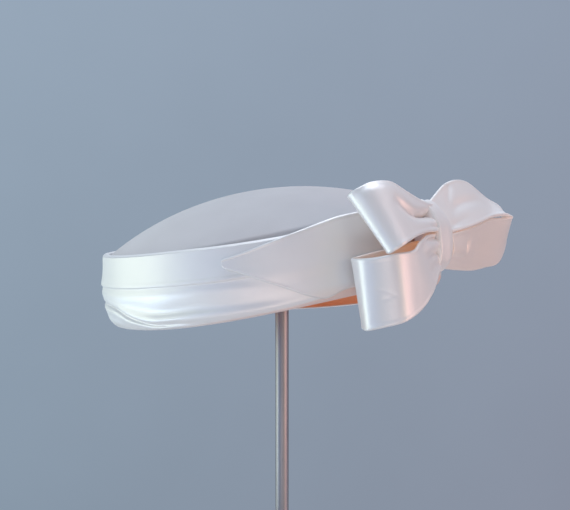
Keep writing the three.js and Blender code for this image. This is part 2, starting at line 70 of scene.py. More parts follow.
@dataclass(frozen=True)
class Table:
    """Rows of named columns that are read smoothly between the rows.

    Args:
        columns: the names of the columns.
        rows: the rows, ordered by the column that they are read by.
    """

    columns: tuple[str, ...]
    rows: tuple[tuple[float, ...], ...]

    def column(self, name: str) -> np.ndarray:
        """One column as an array."""
        return np.array([row[self.columns.index(name)] for row in self.rows], float)

    def read(self, key: str, name: str, at: np.ndarray | float) -> np.ndarray:
        """Reads a column smoothly at places of another one.

        Args:
            key: the column to look up, which rises or falls steadily.
            name: the column to read.
            at: where to read it. Places beyond the ends read the end's value.

        Returns:
            The column's values there.
        """
        x, y = self.column(key), self.column(name)
        if x[0] > x[-1]:
            x, y = x[::-1], y[::-1]
        at = np.clip(np.asarray(at, float), x[0], x[-1])
        i = np.clip(np.searchsorted(x, at) - 1, 0, len(x) - 2)
        inner = (y[2:] - y[:-2]) / (x[2:] - x[:-2])
        slopes = np.concatenate([[(y[1] - y[0]) / (x[1] - x[0])], inner, [(y[-1] - y[-2]) / (x[-1] - x[-2])]])
        span = x[i + 1] - x[i]
        s = (at - x[i]) / span
        whole = y[i] * (1 + 2 * s) * (1 - s) ** 2 + y[i + 1] * s * s * (3 - 2 * s)
        return whole + span * (slopes[i] * s * (1 - s) ** 2 - slopes[i + 1] * s * s * (1 - s))


def smooth_curve(points: np.ndarray, at: np.ndarray, closed: bool = False) -> np.ndarray:
    """A smooth curve through points, with centripetal spacing so that it doesn't overshoot.

    Args:
        points: the points, one a row.
        at: places on the curve, in points from its start.
        closed: whether the last point joins the first.

    Returns:
        The curve's points at those places.
    """
    count = len(points)
    if closed:
        padded = np.concatenate([points[-1:], points, points[:2]])
        last = count - 1
    else:
        padded = np.concatenate([[2 * points[0] - points[1]], points, [2 * points[-1] - points[-2]]])
        last = count - 2
    i = np.clip(np.floor(at).astype(int), 0, last)
    s = (at - i)[:, None]
    p0, p1, p2, p3 = (padded[i + k] for k in range(4))
    d0, d1, d2 = (np.sqrt(np.linalg.norm(b - a, axis=1))[:, None] for a, b in ((p0, p1), (p1, p2), (p2, p3)))
    t1 = ((p1 - p0) / d0 - (p2 - p0) / (d0 + d1) + (p2 - p1) / d1) * d1
    t2 = ((p2 - p1) / d1 - (p3 - p1) / (d1 + d2) + (p3 - p2) / d2) * d1
    return (
        p1 + t1 * s
        + (3 * (p2 - p1) - 2 * t1 - t2) * s**2
        + (2 * (p1 - p2) + t1 + t2) * s**3
    )


def unit(vectors: np.ndarray) -> np.ndarray:
    """The same vectors at length one."""
    return vectors / np.maximum(np.linalg.norm(vectors, axis=-1, keepdims=True), 1e-12)


def square_to(grid: np.ndarray) -> np.ndarray:
    """The direction square to a surface at each point of its grid."""
    return unit(np.cross(np.gradient(grid, axis=0), np.gradient(grid, axis=1)))


def smooth_step(x: np.ndarray) -> np.ndarray:
    """Goes smoothly from 0 to 1 as x does."""
    x = np.clip(x, 0.0, 1.0)
    return x * x * (3 - 2 * x)


def part_way(x: np.ndarray, start: float, whole: float) -> np.ndarray:
    """How far x has come from a start towards the place where an effect is whole, from 0 to 1."""
    return np.clip((start - x) / (start - whole), 0, 1)


def spaced(*runs: Run) -> np.ndarray:
    """One row of values, in runs that each go evenly from a first to a last value in a number of steps."""
    return np.concatenate([np.linspace(*run) for run in runs])[None, :]


def grid_faces(rows: int, columns: int, close_rows: bool, close_columns: bool) -> list[tuple[int, ...]]:
    """Faces of a grid of points that is numbered row by row.

    Args:
        rows: how many rows of points there are.
        columns: how many points a row has.
        close_rows: whether the last row joins the first.
        close_columns: whether each row's last point joins its first.

    Returns:
        Four corners for each face.
    """
    i = np.arange(rows if close_rows else rows - 1)[:, None]
    j = np.arange(columns if close_columns else columns - 1)[None, :]
    ni, nj = (i + 1) % rows, (j + 1) % columns
    corners = np.stack([i * columns + j, ni * columns + j, ni * columns + nj, i * columns + nj], -1)
    return [tuple(face) for face in corners.reshape(-1, 4)]


def deselect_everything() -> None:
    """Leaves no object selected, because operators act on all that is."""
    if bpy.context.object and bpy.context.object.mode != "OBJECT":
        bpy.ops.object.mode_set(mode="OBJECT")
    bpy.ops.object.select_all(action="DESELECT")


def select_only(piece: bpy.types.Object) -> None:
    """Selects one object and makes it the active one."""
    deselect_everything()
    piece.select_set(True)
    bpy.context.view_layer.objects.active = piece


def apply_modifiers(piece: bpy.types.Object) -> None:
    """Applies all of an object's modifiers, in their order."""
    select_only(piece)
    for modifier in list(piece.modifiers):
        bpy.ops.object.modifier_apply(modifier=modifier.name)


def round_edges(piece: bpy.types.Object, width: float, segments: int, sharpest: float = 30) -> None:
    """Rounds a piece's edges.

    Args:
        piece: the piece.
        width: how wide the rounding is.
        segments: how many steps it has.
        sharpest: only edges that turn by more than this angle, in degrees, are rounded.
    """
    bevel = piece.modifiers.new("rounding", "BEVEL")
    bevel.width, bevel.segments, bevel.limit_method = width, segments, "ANGLE"
    bevel.angle_limit = math.radians(sharpest)
    apply_modifiers(piece)


def mesh_piece(
    name: str,
    points: np.ndarray,
    faces: list[tuple[int, ...]],
    place: np.ndarray,
    warmth: np.ndarray | None = None,
) -> bpy.types.Object:
    """A new object from points and faces, smooth, with its own UV map in metres of cloth.

    Args:
        name: the piece's name.
        points: the points, one a row.
        faces: the points of each face.
        place: two coordinates on the cloth for each point, in metres.
        warmth: how strongly warm bounced light and shade are painted into the cloth there, from 0 to 1, or
            none.

    Returns:
        The object, which lies at the origin.
    """
    mesh = bpy.data.meshes.new(name)
    mesh.from_pydata(points.reshape(-1, 3).tolist(), [], faces)
    mesh.update()
    piece = bpy.data.objects.new(name, mesh)
    bpy.context.scene.collection.objects.link(piece)
    corners = np.zeros(len(mesh.loops), int)
    mesh.loops.foreach_get("vertex_index", corners)
    layer = mesh.uv_layers.new(name="cloth")
    layer.data.foreach_set("uv", place.reshape(-1, 2)[corners].astype(np.float32).ravel())
    # The point attribute carries the painted warm light and shade to the shader.
    light_paint = mesh.attributes.new("warmth", "FLOAT", "POINT")
    values = np.zeros(len(mesh.vertices)) if warmth is None else warmth.reshape(-1)
    light_paint.data.foreach_set("value", values.astype(np.float32))
    select_only(piece)
    bpy.ops.object.mode_set(mode="EDIT")
    bpy.ops.mesh.select_all(action="SELECT")
    bpy.ops.mesh.normals_make_consistent(inside=False)
    bpy.ops.mesh.select_all(action="DESELECT")
    bpy.ops.object.mode_set(mode="OBJECT")
    bpy.ops.object.shade_smooth()
    return piece


class Nodes:
    """A short way to write a shader's nodes.

    Args:
        tree: the node tree to add to, which is emptied first.
    """

    def __init__(self, tree: bpy.types.NodeTree) -> None:
        tree.nodes.clear()
        self.tree = tree

    def add(self, kind: str, settings: dict | None = None, **inputs: object) -> bpy.types.Node:
        """Adds a node.

        Args:
            kind: the node's type.
            settings: the node's own settings.
            **inputs: a value or another node's output for each input, whose name is in lower case
                with an underscore for each blank. Of inputs with the same name, two underscores and
                a number tell which is meant.

        Returns:
            The node.
        """
        node = self.tree.nodes.new(kind)
        for key, value in (settings or {}).items():
            setattr(node, key, value)
        for key, value in inputs.items():
            name, _, place = key.partition("__")
            matches = [s for s in node.inputs if s.name.lower().replace(" ", "_") == name and s.enabled]
            socket = matches[int(place or 0)]
            if isinstance(value, bpy.types.NodeSocket):
                self.tree.links.new(value, socket)
            else:
                socket.default_value = value
        return node

    def ramp(self, factor: Socket, *stops: tuple[float, Colour]) -> Socket:
        """A colour ramp.

        Args:
            factor: what drives it.
            *stops: a place and a colour each.

        Returns:
            The ramp's colour.
        """
        node = self.add("ShaderNodeValToRGB", fac=factor)
        elements = node.color_ramp.elements
        while len(elements) < len(stops):
            elements.new(1.0)
        for element, (place, colour) in zip(elements, stops):
            element.position = place
            element.color = (*colour, 1)
        return node.outputs["Color"]

    def spread(self, value: Socket, low: float, high: float) -> Socket:
        """A value from 0 to 1 spread over another range."""
        return self.add("ShaderNodeMapRange", value=value, to_min=low, to_max=high).outputs["Result"]

    def part(self, value: Socket, low: float, high: float) -> Socket:
        """Where a value lies between two others, from 0 to 1."""
        return self.add("ShaderNodeMapRange", value=value, from_min=low, from_max=high).outputs["Result"]

    def about(self, value: Socket, middle: float, share: float) -> Socket:
        """A value from 0 to 1 spread by a share to both sides of a middle."""
        return self.spread(value, middle * (1 - share), middle * (1 + share))

    def place(self) -> Socket:
        """The place on the piece, in metres."""
        return self.add("ShaderNodeTexCoord").outputs["Object"]

    def stretched(self, vector: Socket, scale: tuple[float, float, float]) -> Socket:
        """A place with each of its axes scaled."""
        return self.add("ShaderNodeMapping", vector=vector, scale=scale).outputs["Vector"]

    def noise(self, vector: Socket, scale: float, detail: float, **inputs: object) -> Socket:
        """The grey value of a noise."""
        node = self.add("ShaderNodeTexNoise", vector=vector, scale=scale, detail=detail, **inputs)
        return node.outputs["Fac"]

    def calculate(self, operation: str, *values: Socket | float) -> Socket:
        """The result of one of the math node's operations."""
        inputs = {f"value__{k}": value for k, value in enumerate(values)}
        return self.add("ShaderNodeMath", {"operation": operation}, **inputs).outputs[0]

    def bump(self, height: Socket, strength: float, distance: float, **inputs: object) -> Socket:
        """The surface's direction with small bumps in it."""
        node = self.add("ShaderNodeBump", strength=strength, distance=distance, height=height, **inputs)
        return node.outputs["Normal"]

    def surface(self, **inputs: object) -> None:
        """Ends the tree with a shader of these inputs."""
        shader = self.add("ShaderNodeBsdfPrincipled", **inputs)
        self.add("ShaderNodeOutputMaterial", surface=shader.outputs["BSDF"])


@dataclass(frozen=True)
class Finish:
    """What every finish has.

    Args:
        name: the material's name.
        colour: its colour.
        roughness: how rough it is.
    """

    name: str
    colour: Colour
    roughness: float

    def material(self) -> bpy.types.Material:
        """The material, made once and shared."""
        if self.name in bpy.data.materials:
            return bpy.data.materials[self.name]
        made = bpy.data.materials.new(self.name)
        made.use_nodes = True
        self.fill(Nodes(made.node_tree))
        return made

    def fill(self, nodes: Nodes) -> None:
        """Builds the material's nodes."""
        raise NotImplementedError

    def darker(self, share: float) -> Colour:
        """This share of its colour."""
        return tuple(share * c for c in self.colour)


@dataclass(frozen=True)
class ClothFinish(Finish):
    """A cloth's look.

    Args:
        colour_shift: the colour of its slightly darker patches.
        warm: the colour of the painted warm light that stands for light bounced deep between two layers of
            it.
        gloss: the strength of its mirror-like part.
        sheen: the strength of its nap.
        anisotropy: how far its gloss stretches across the threads.
        lustre: how far it reflects in its own colour, as long silk floats do.
        thread: the distance between two threads.
        weave_depth: how deep the weave is.
        crinkle: the size of the crinkles of a crepe, or 0 for a plain cloth.
        crinkle_depth: how deep they are.
        painted_glow: how bright the painted glow is that stands for light through the cloth where it is
            marked warm.
        slub: how far its uneven threads are drawn out, across and along the cloth.
    """

    colour_shift: Colour
    warm: Colour
    gloss: float
    sheen: float
    anisotropy: float
    lustre: float
    thread: float
    weave_depth: float
    crinkle: float = 0.0
    crinkle_depth: float = 0.0
    painted_glow: float = 0.0
    slub: tuple[float, float, float] = (2600.0, 60.0, 1.0)

    def weave(self, nodes: Nodes, cloth: Socket) -> Socket:
        """The height of the crossing threads, from their place on the cloth."""
        count = 1 / self.thread
        threads = nodes.add("ShaderNodeVectorMath", {"operation": "SCALE"}, vector=cloth, scale=count)
        parts = nodes.add("ShaderNodeSeparateXYZ", vector=threads.outputs["Vector"])
        turns = (nodes.calculate("MULTIPLY", parts.outputs[part], 2 * math.pi) for part in ("X", "Y"))
        return nodes.calculate("MULTIPLY", *(nodes.calculate("SINE", turn) for turn in turns))

    def fill(self, nodes: Nodes) -> None:
        """Builds the cloth's patches, its painted warm shade and glow in deep places, weave and gloss along
        the threads.
        """
        place = nodes.place()
        cloth = nodes.add("ShaderNodeUVMap", {"uv_map": "cloth"}).outputs["UV"]
        # Painted light: this attribute mixes the colour towards warm bounced light in shaded hollows and
        # drives a painted glow.
        warmth = nodes.add("ShaderNodeAttribute", {"attribute_name": "warmth"}).outputs["Fac"]
        patches = nodes.noise(place, scale=38.0, detail=3.0)
        plain = nodes.ramp(patches, (0.3, self.colour_shift), (0.7, self.colour))
        warm_lit = nodes.add("ShaderNodeMix", {"data_type": "RGBA"}, factor=warmth, a=plain, b=(*self.warm, 1))
        streaks = nodes.noise(nodes.stretched(cloth, self.slub), scale=0.35, detail=2.0)
        height = nodes.calculate("MULTIPLY_ADD", streaks, 0.8, self.weave(nodes, cloth))
        bump = nodes.bump(height, strength=0.35, distance=self.weave_depth)
        if self.crinkle:
            grain = nodes.noise(place, scale=1 / self.crinkle, detail=2.5, roughness=0.6)
            bump = nodes.bump(grain, strength=0.6, distance=self.crinkle_depth, normal=bump)
        threads = nodes.add("ShaderNodeTangent", {"direction_type": "UV_MAP", "uv_map": "cloth"})
        nodes.surface(
            base_color=warm_lit.outputs["Result"],
            # Painted glow: an emission in the warm colour where the cloth is marked warm.
            emission_color=(*self.warm, 1),
            emission_strength=nodes.calculate("MULTIPLY", warmth, self.painted_glow),
            roughness=nodes.about(streaks, self.roughness, 0.07),
            specular_ior_level=self.gloss,
            sheen_weight=self.sheen,
            sheen_roughness=0.4,
            anisotropic=self.anisotropy,
            metallic=self.lustre,
            tangent=threads.outputs["Tangent"],
            normal=bump,
        )


@dataclass(frozen=True)
class MetalFinish(Finish):
    """The rod's satin steel, brushed along the rod.

    Args:
        brushing: how fine its marks are, across and along the rod.
    """

    brushing: tuple[float, float, float] = (3000.0, 3000.0, 40.0)

    def fill(self, nodes: Nodes) -> None:
        """Builds the brushed metal."""
        brushed = nodes.noise(nodes.stretched(nodes.place(), self.brushing), scale=1.0, detail=2.0)
        nodes.surface(
            base_color=nodes.ramp(brushed, (0.35, self.darker(0.86)), (0.65, self.colour)),
            metallic=1.0,
            roughness=nodes.about(brushed, self.roughness, 0.15),
            normal=nodes.bump(brushed, strength=0.1, distance=0.02 * MM),
        )


@dataclass(frozen=True)
class PaintFinish(Finish):
    """The matte paint of the stand's foot and pad.

    Args:
        grain: the size of its orange-peel texture.
    """

    grain: float

    def fill(self, nodes: Nodes) -> None:
        """Builds the cloudy paint and its fine texture."""
        place = nodes.place()
        peel = nodes.noise(place, scale=1 / self.grain, detail=2.0)
        cloudy = nodes.noise(place, scale=14.0, detail=4.0)
        nodes.surface(
            base_color=nodes.ramp(cloudy, (0.35, self.darker(0.93)), (0.65, self.colour)),
            roughness=nodes.about(cloudy, self.roughness, 0.1),
            normal=nodes.bump(peel, strength=0.25, distance=0.05 * MM),
        )


@dataclass(frozen=True)
class TableFinish(Finish):
    """The pale table top.

    Args:
        colour_shift: the colour of its slightly darker patches.
    """

    colour_shift: Colour

    def fill(self, nodes: Nodes) -> None:
        """Builds the cloudy table top."""
        cloudy = nodes.noise(nodes.place(), scale=6.0, detail=3.0)
        colour = nodes.ramp(cloudy, (0.3, self.colour_shift), (0.7, self.colour))
        nodes.surface(base_color=colour, roughness=self.roughness)


# The warm and painted_glow of each cloth paint warm bounced light and a glow into its shaded hollows.
SATIN = ClothFinish(
    name="ivory_satin",
    colour=(0.86, 0.83, 0.81),
    colour_shift=(0.83, 0.8, 0.78),
    warm=(0.76, 0.25, 0.09),
    roughness=0.42,
    gloss=0.6,
    sheen=0.1,
    anisotropy=0.6,
    lustre=0.3,
    thread=0.32 * MM,
    weave_depth=0.01 * MM,
    painted_glow=0.12,
)
# The ribbon's loops get a stronger painted warm shade and glow between their layers.
RIBBON_SATIN = replace(SATIN, name="ribbon_satin", warm=(0.8, 0.38, 0.15), painted_glow=0.36)
CREPE = ClothFinish(
    name="ivory_crepe",
    colour=(0.56, 0.53, 0.53),
    colour_shift=(0.53, 0.5, 0.5),
    # Its warm is the painted warm shade of the crown's inside.
    warm=(0.9, 0.55, 0.33),
    roughness=0.9,
    gloss=0.2,
    sheen=0.15,
    anisotropy=0.0,
    lustre=0.0,
    thread=0.5 * MM,
    weave_depth=0.02 * MM,
    crinkle=0.8 * MM,
    crinkle_depth=0.12 * MM,
)
STEEL = MetalFinish(name="satin_steel", colour=(0.34, 0.33, 0.35), roughness=0.45)
PAINT = PaintFinish(name="pale_grey_paint", colour=(0.62, 0.61, 0.59), roughness=0.55, grain=0.9 * MM)
TABLE_TOP = TableFinish(
    name="pale_floor",
    colour=(0.64, 0.64, 0.63),
    colour_shift=(0.6, 0.6, 0.6),
    roughness=0.7,
)


def dress(piece: bpy.types.Object, node: str, finish: Finish) -> bpy.types.Object:
    """Gives a piece its finish, hangs it on the root body, and hides the frame's node that it stands for.

    Args:
        piece: the piece.
        node: the frame's node that it stands for.
        finish: its finish.

    Returns:
        The piece.
    """
    piece.data.materials.clear()
    piece.data.materials.append(finish.material())
    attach(piece, "root")
    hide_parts(node)
    return piece


@dataclass(frozen=True)
class HatShape:
    """The hat's oval, rim and tilt, on which all of its pieces are laid.

    Args:
        half_width: from the middle to the outside of the band, at the sides.
        half_length: the same, at the front and the back.
        forward: how far the hat's middle lies in front of the rod.
        rim_height: height of the middle of the rim.
        tilt: how far the back is turned up.
        rim_wave: the rim rises by this at the front and back, and drops by it at the sides.
    """

    half_width: float = 90.5 * MM
    half_length: float = 95.3 * MM
    forward: float = 3.3 * MM
    rim_height: float = 229.5 * MM
    tilt: float = math.radians(8.1)
    rim_wave: float = 4.3 * MM

    def rim_lift(self, turn: np.ndarray) -> np.ndarray:
        """How far the rim rises above its mean at a turn."""
        return self.rim_wave * np.cos(2 * np.radians(turn))

    def point(self, turn: np.ndarray, outward: np.ndarray, height: np.ndarray) -> np.ndarray:
        """A point of the untilted hat.

        Args:
            turn: angle from the bow towards +X, in degrees.
            outward: how far it lies out from the oval.
            height: how far it lies above the rim.

        Returns:
            The points, with one more axis than the arguments.
        """
        angle = np.radians(turn)
        across = (self.half_width + outward) * np.sin(angle)
        along = (self.half_length + outward) * np.cos(angle)
        return np.stack(np.broadcast_arrays(across, along, height + self.rim_lift(turn)), -1)

    def placed(self, points: np.ndarray) -> np.ndarray:
        """Points of the untilted hat, tilted and set on the stand."""
        c, s = math.cos(self.tilt), math.sin(self.tilt)
        x, y, z = points[..., 0], points[..., 1], points[..., 2]
        return np.stack([x, y * c - z * s - self.forward, y * s + z * c + self.rim_height], -1)


class FoldKind(Enum):
    """How a fold of the band looks in section."""

    TUCK = "an upper layer that ends in a rounded edge over the layer below"
    GROOVE = "a soft hollow"
    RIDGE = "a soft swelling"


@dataclass(frozen=True)
class Fold:
    """A fold that runs along the band.

    Args:
        kind: its section.
        depth: how deep or high it is where its share is 1.
        above: how far it reaches up the band.
        below: how far it reaches down the band.
        rows: its route: turn in degrees, rise as a share of the band's height, and share of the depth.
        edge: how softly a tuck's edge drops.
        sink: how far the layer below a tuck's edge sinks in, as a share of the depth.
    """

    kind: FoldKind
    depth: float
    above: float
    below: float
    rows: tuple[tuple[float, float, float], ...]
    edge: float = 0.32 * MM
    sink: float = 0.55

    def relief(self, turn: np.ndarray, rise: np.ndarray, height: np.ndarray) -> np.ndarray:
        """How far the fold lifts the cloth.

        Args:
            turn: angle of each place, in degrees from 0 to 360.
            rise: share of the band's height there.
            height: the band's height there.

        Returns:
            The lift, negative where the cloth sinks in.
        """
        table = Table(("turn", "rise", "share"), self.rows)
        away = (rise - table.read("turn", "rise", turn)) * height
        share = np.clip(table.read("turn", "share", turn), 0, 1)
        inside = (turn > self.rows[0][0]) & (turn < self.rows[-1][0])
        depth = np.where(inside, self.depth * share, 0.0)
        reach = np.where(away > 0, self.above, self.below)
        bell = np.exp(-((away / reach) ** 2))
        if self.kind is FoldKind.TUCK:
            upper = 0.5 * (1 + np.tanh(away / self.edge))
            return depth * (upper * bell - self.sink * (1 - upper) * bell)
        return depth * bell * (1 if self.kind is FoldKind.RIDGE else -1)


@dataclass
class SideBand:
    """The draped satin band round the hat.

    Args:
        hat: the shape that it is laid on.
        height: its height.
        wall: its thickness.
        turn_in: how far its lower edge is drawn in.
        bulge: how far it swells out at the front.
        fold_room: how far behind the outside the thin parts between folds begin.
        highest_fold: the most that its folds stand out.
        roll: rounding of its top edge.
        around: steps round the hat.
        outside: runs up its outside, in shares of its height.
        top_arc: a run over its top edge, in radians.
        inside: a run down its inside, in shares of its height.
        low_arc: a run round its lower edge, in radians.
        low_roll: how deep the rounding of its lower edge is, in parts of the first step up its outside.
        inside_warmth: how strongly warm bounced light in shade is painted on its inside.
        inside_light_rises: that painted light begins below the first of these shares of its height, and is
            whole at the second.
        hem_fade: the share of its height over which the painted warm light on a hem fades.
        fold_cloth: the height of its cloth laid flat, as a share of its own height; not used.
        tops: the height of its top edge round the hat.
        section: how far it is drawn in and swells out from its lower to its top edge.
        folds: its folds.
        hem_light_table: how high the painted warm light from below on its lower edge reaches round the hat,
        and how strong it is.
    """

    hat: HatShape
    height: float = 38.8 * MM
    wall: float = 2.6 * MM
    turn_in: float = 4 * MM
    bulge: float = 2.6 * MM
    fold_room: float = 1.3 * MM
    highest_fold: float = 0.7 * MM
    roll: float = 1.3 * MM
    around: int = 448
    outside: tuple[Run, ...] = ((0.012, 0.93, 120), (0.94, 0.975, 4))
    top_arc: Run = (0.12, math.pi - 0.12, 7)
    inside: Run = (0.96, 0.03, 14)
    low_arc: Run = (math.pi + 0.2, 2 * math.pi - 0.2, 6)
    low_roll: float = 1.2
    inside_warmth: float = 0.85
    inside_light_rises: tuple[float, float] = (0.88, 0.78)
    hem_fade: float = 0.03
    fold_cloth: float = 1.1
    tops: Table = Table(
        ("turn", "top"),
        (
            (0, 1.0), (30, 0.985), (52, 0.95), (72, 0.98), (88, 1.015),
            (110, 1.03), (180, 1.03), (250, 1.01), (310, 1.0), (360, 1.0),
        ),
    )
    section: Table = Table(
        ("rise", "inset", "swell"),
        (
            (0.0, 1.0, 0.0), (0.03, 0.78, 0.3), (0.1, 0.43, 0.6), (0.24, 0.29, 0.9), (0.34, 0.22, 0.95),
            (0.47, 0.03, 1.0), (0.63, 0.0, 0.54), (0.79, 0.0, 0.21), (1.0, 0.12, 0.0),
        ),
    )
    folds: tuple[Fold, ...] = (
        Fold(FoldKind.TUCK, 0.75 * MM, 5 * MM, 2.6 * MM, (
            (30, 0.52, 0), (58, 0.53, 0.1), (66, 0.538, 0.6), (78, 0.543, 0.75), (89, 0.554, 0.8),
            (99, 0.563, 0.9), (106, 0.563, 1), (119, 0.571, 1), (143, 0.57, 1), (185, 0.55, 0.8),
            (225, 0.5, 0.7), (265, 0.44, 0.6), (310, 0.4, 0),
        )),
        Fold(FoldKind.RIDGE, 0.9 * MM, 0.8 * MM, 0.7 * MM, (
            (58, 0.54, 0), (66, 0.55, 1), (78, 0.555, 1), (89, 0.566, 1), (99, 0.577, 0.7), (112, 0.582, 0.3),
            (125, 0.585, 0),
        )),
        Fold(FoldKind.GROOVE, 0.4 * MM, 2 * MM, 2.5 * MM, (
            (52, 0.42, 0), (61, 0.444, 0.8), (66, 0.465, 1), (72, 0.485, 0.8), (82, 0.49, 0),
        )),
        Fold(FoldKind.GROOVE, 1.1 * MM, 0.9 * MM, 0.8 * MM, (
            (90, 0.05, 0), (94.7, 0.056, 0.4), (98.2, 0.064, 0.8), (103, 0.082, 1), (108.3, 0.128, 1),
            (114.5, 0.189, 1), (120.5, 0.269, 1), (126, 0.307, 1), (134, 0.33, 0.7), (150, 0.35, 0.4),
            (175, 0.37, 0),
        )),
        Fold(FoldKind.RIDGE, 0.7 * MM, 1.6 * MM, 2.2 * MM, (
            (96, 0.0, 0), (98.5, 0.02, 0.8), (103, 0.035, 1), (108.3, 0.08, 1), (114.5, 0.14, 1),
            (120.5, 0.21, 1), (126, 0.24, 1), (135, 0.26, 0.8), (160, 0.28, 0),
        )),
        Fold(FoldKind.RIDGE, 0.6 * MM, 2.2 * MM, 2.0 * MM, (
            (96, 0.13, 0), (100, 0.15, 0.8), (108, 0.2, 0.9), (114.5, 0.26, 0.7), (120, 0.33, 0.5),
            (130, 0.38, 0),
        )),
        Fold(FoldKind.GROOVE, 1.5 * MM, 4 * MM, 3 * MM, (
            (46, 0.15, 0), (56, 0.165, 0.35), (62.2, 0.182, 0.5), (71.4, 0.199, 0.6), (78.9, 0.218, 0.75),
            (85.4, 0.228, 0.9), (92.1, 0.223, 1), (99.3, 0.223, 0.9), (105.4, 0.24, 0.7), (111.8, 0.266, 0.3),
            (117, 0.28, 0),
        )),
        Fold(FoldKind.RIDGE, 0.6 * MM, 2.2 * MM, 2.4 * MM, (
            (66, 0.12, 0), (76, 0.135, 0.6), (84, 0.15, 0.9), (92, 0.145, 1), (99.5, 0.14, 0.6),
            (104, 0.14, 0),
        )),
        Fold(FoldKind.GROOVE, 0.5 * MM, 1.2 * MM, 1.0 * MM, (
            (82, 0.03, 0), (86, 0.04, 0.7), (91.1, 0.071, 1), (96.8, 0.075, 0.9), (101, 0.07, 0),
        )),
        Fold(FoldKind.RIDGE, 0.5 * MM, 1.0 * MM, 1.2 * MM, (
            (84, 0.02, 0), (86.8, 0.021, 0.6), (91.2, 0.03, 1), (96, 0.034, 0.9), (101, 0.03, 0),
        )),
        Fold(FoldKind.GROOVE, 0.9 * MM, 3.6 * MM, 3 * MM, (
            (165, 0.22, 0), (200, 0.24, 0.7), (240, 0.2, 0.8), (285, 0.16, 0.5), (325, 0.14, 0),
        )),
        Fold(FoldKind.TUCK, 0.7 * MM, 4 * MM, 2.4 * MM, (
            (190, 0.8, 0), (230, 0.76, 0.6), (275, 0.7, 0.7), (320, 0.62, 0.4), (350, 0.6, 0),
        )),
    )
    # Painted warm light from below on the band's lower edge.
    hem_light_table: Table = Table(
        ("turn", "rise", "warmth"),
        (
            (0, 0.12, 0.34), (34, 0.12, 0.34), (44, 0.06, 0.3), (56, 0.03, 0.26), (77, 0.025, 0.15),
            (95, 0.02, 0), (265, 0.02, 0), (285, 0.03, 0.15), (320, 0.08, 0.3), (360, 0.12, 0.34),
        ),
    )

    def top(self, turn: np.ndarray) -> np.ndarray:
        """The height of the band's top edge at a turn."""
        return self.height * self.tops.read("turn", "top", turn)

    def stand(self, turn: np.ndarray, rise: np.ndarray) -> np.ndarray:
        """How far the band stands out from the oval, folds left out."""
        swell = self.section.read("rise", "swell", rise)
        inset = self.section.read("rise", "inset", rise)
        return self.bulge * swell * np.sin(np.radians(turn) / 2) ** 2 - self.turn_in * inset

    def folded(self, turn: np.ndarray, rise: np.ndarray) -> np.ndarray:
        """How far the band's outside stands out from the oval, with its folds."""
        turn = np.mod(turn, 360)
        lift = sum(fold.relief(turn, rise, self.top(turn)) for fold in self.folds)
        return self.stand(turn, rise) + np.minimum(lift, self.highest_fold)

    def build(self) -> bpy.types.Object:
        """The band, dressed.

        Returns:
            The finished piece.
        """
        turn = np.linspace(0, 360, self.around, endpoint=False)[:, None]
        top = self.top(turn)
        full = self.wall + self.fold_room
        half = full / 2
        # Each row of points goes up the outside, over the top edge, down the inside and round the lower edge.
        rises = spaced(*self.outside)
        outer = self.hat.point(turn, self.folded(turn, rises), rises * top)
        arc = spaced(self.top_arc)
        top_rise = 1 - self.roll * (1 - np.sin(arc)) / self.height
        upper = self.hat.point(turn, self.stand(turn, 1) - half + half * np.cos(arc), top_rise * top)
        inner_rises = spaced(self.inside)
        inner = self.hat.point(turn, self.stand(turn, inner_rises) - full, inner_rises * top)
        low_arc = spaced(self.low_arc)
        low_rise = rises[0, 0] * (1 + np.sin(low_arc)) * self.low_roll
        lower = self.hat.point(turn, self.stand(turn, 0) - half + half * np.cos(low_arc), low_rise * top)
        rows = np.concatenate([outer, upper, inner, lower], 1)
        girth = np.radians(turn) * self.hat.half_width
        down = np.cumsum(np.linalg.norm(np.diff(rows, axis=1, append=rows[:, :1]), axis=-1), 1)
        cloth = np.stack(np.broadcast_arrays(girth, down), -1)
        # Painted light: warm light from below on the hem, and warm bounced light in the shaded inside.
        hem_rise, hem_warmth = (self.hem_light_table.read("turn", column, turn) for column in ("rise", "warmth"))
        inside_warmth = self.inside_warmth * smooth_step(part_way(inner_rises, *self.inside_light_rises))
        warmth = np.concatenate([
            hem_warmth * smooth_step((hem_rise - rises) / self.hem_fade + 0.5),
            np.zeros(upper.shape[:2]),
            np.broadcast_to(inside_warmth, inner.shape[:2]),
            np.broadcast_to(hem_warmth, lower.shape[:2]),
        ], 1)
        faces = grid_faces(self.around, rows.shape[1], True, True)
        piece = mesh_piece("band_satin", self.hat.placed(rows), faces, cloth, warmth)
        dress(piece, "side_band", SATIN)
        return piece


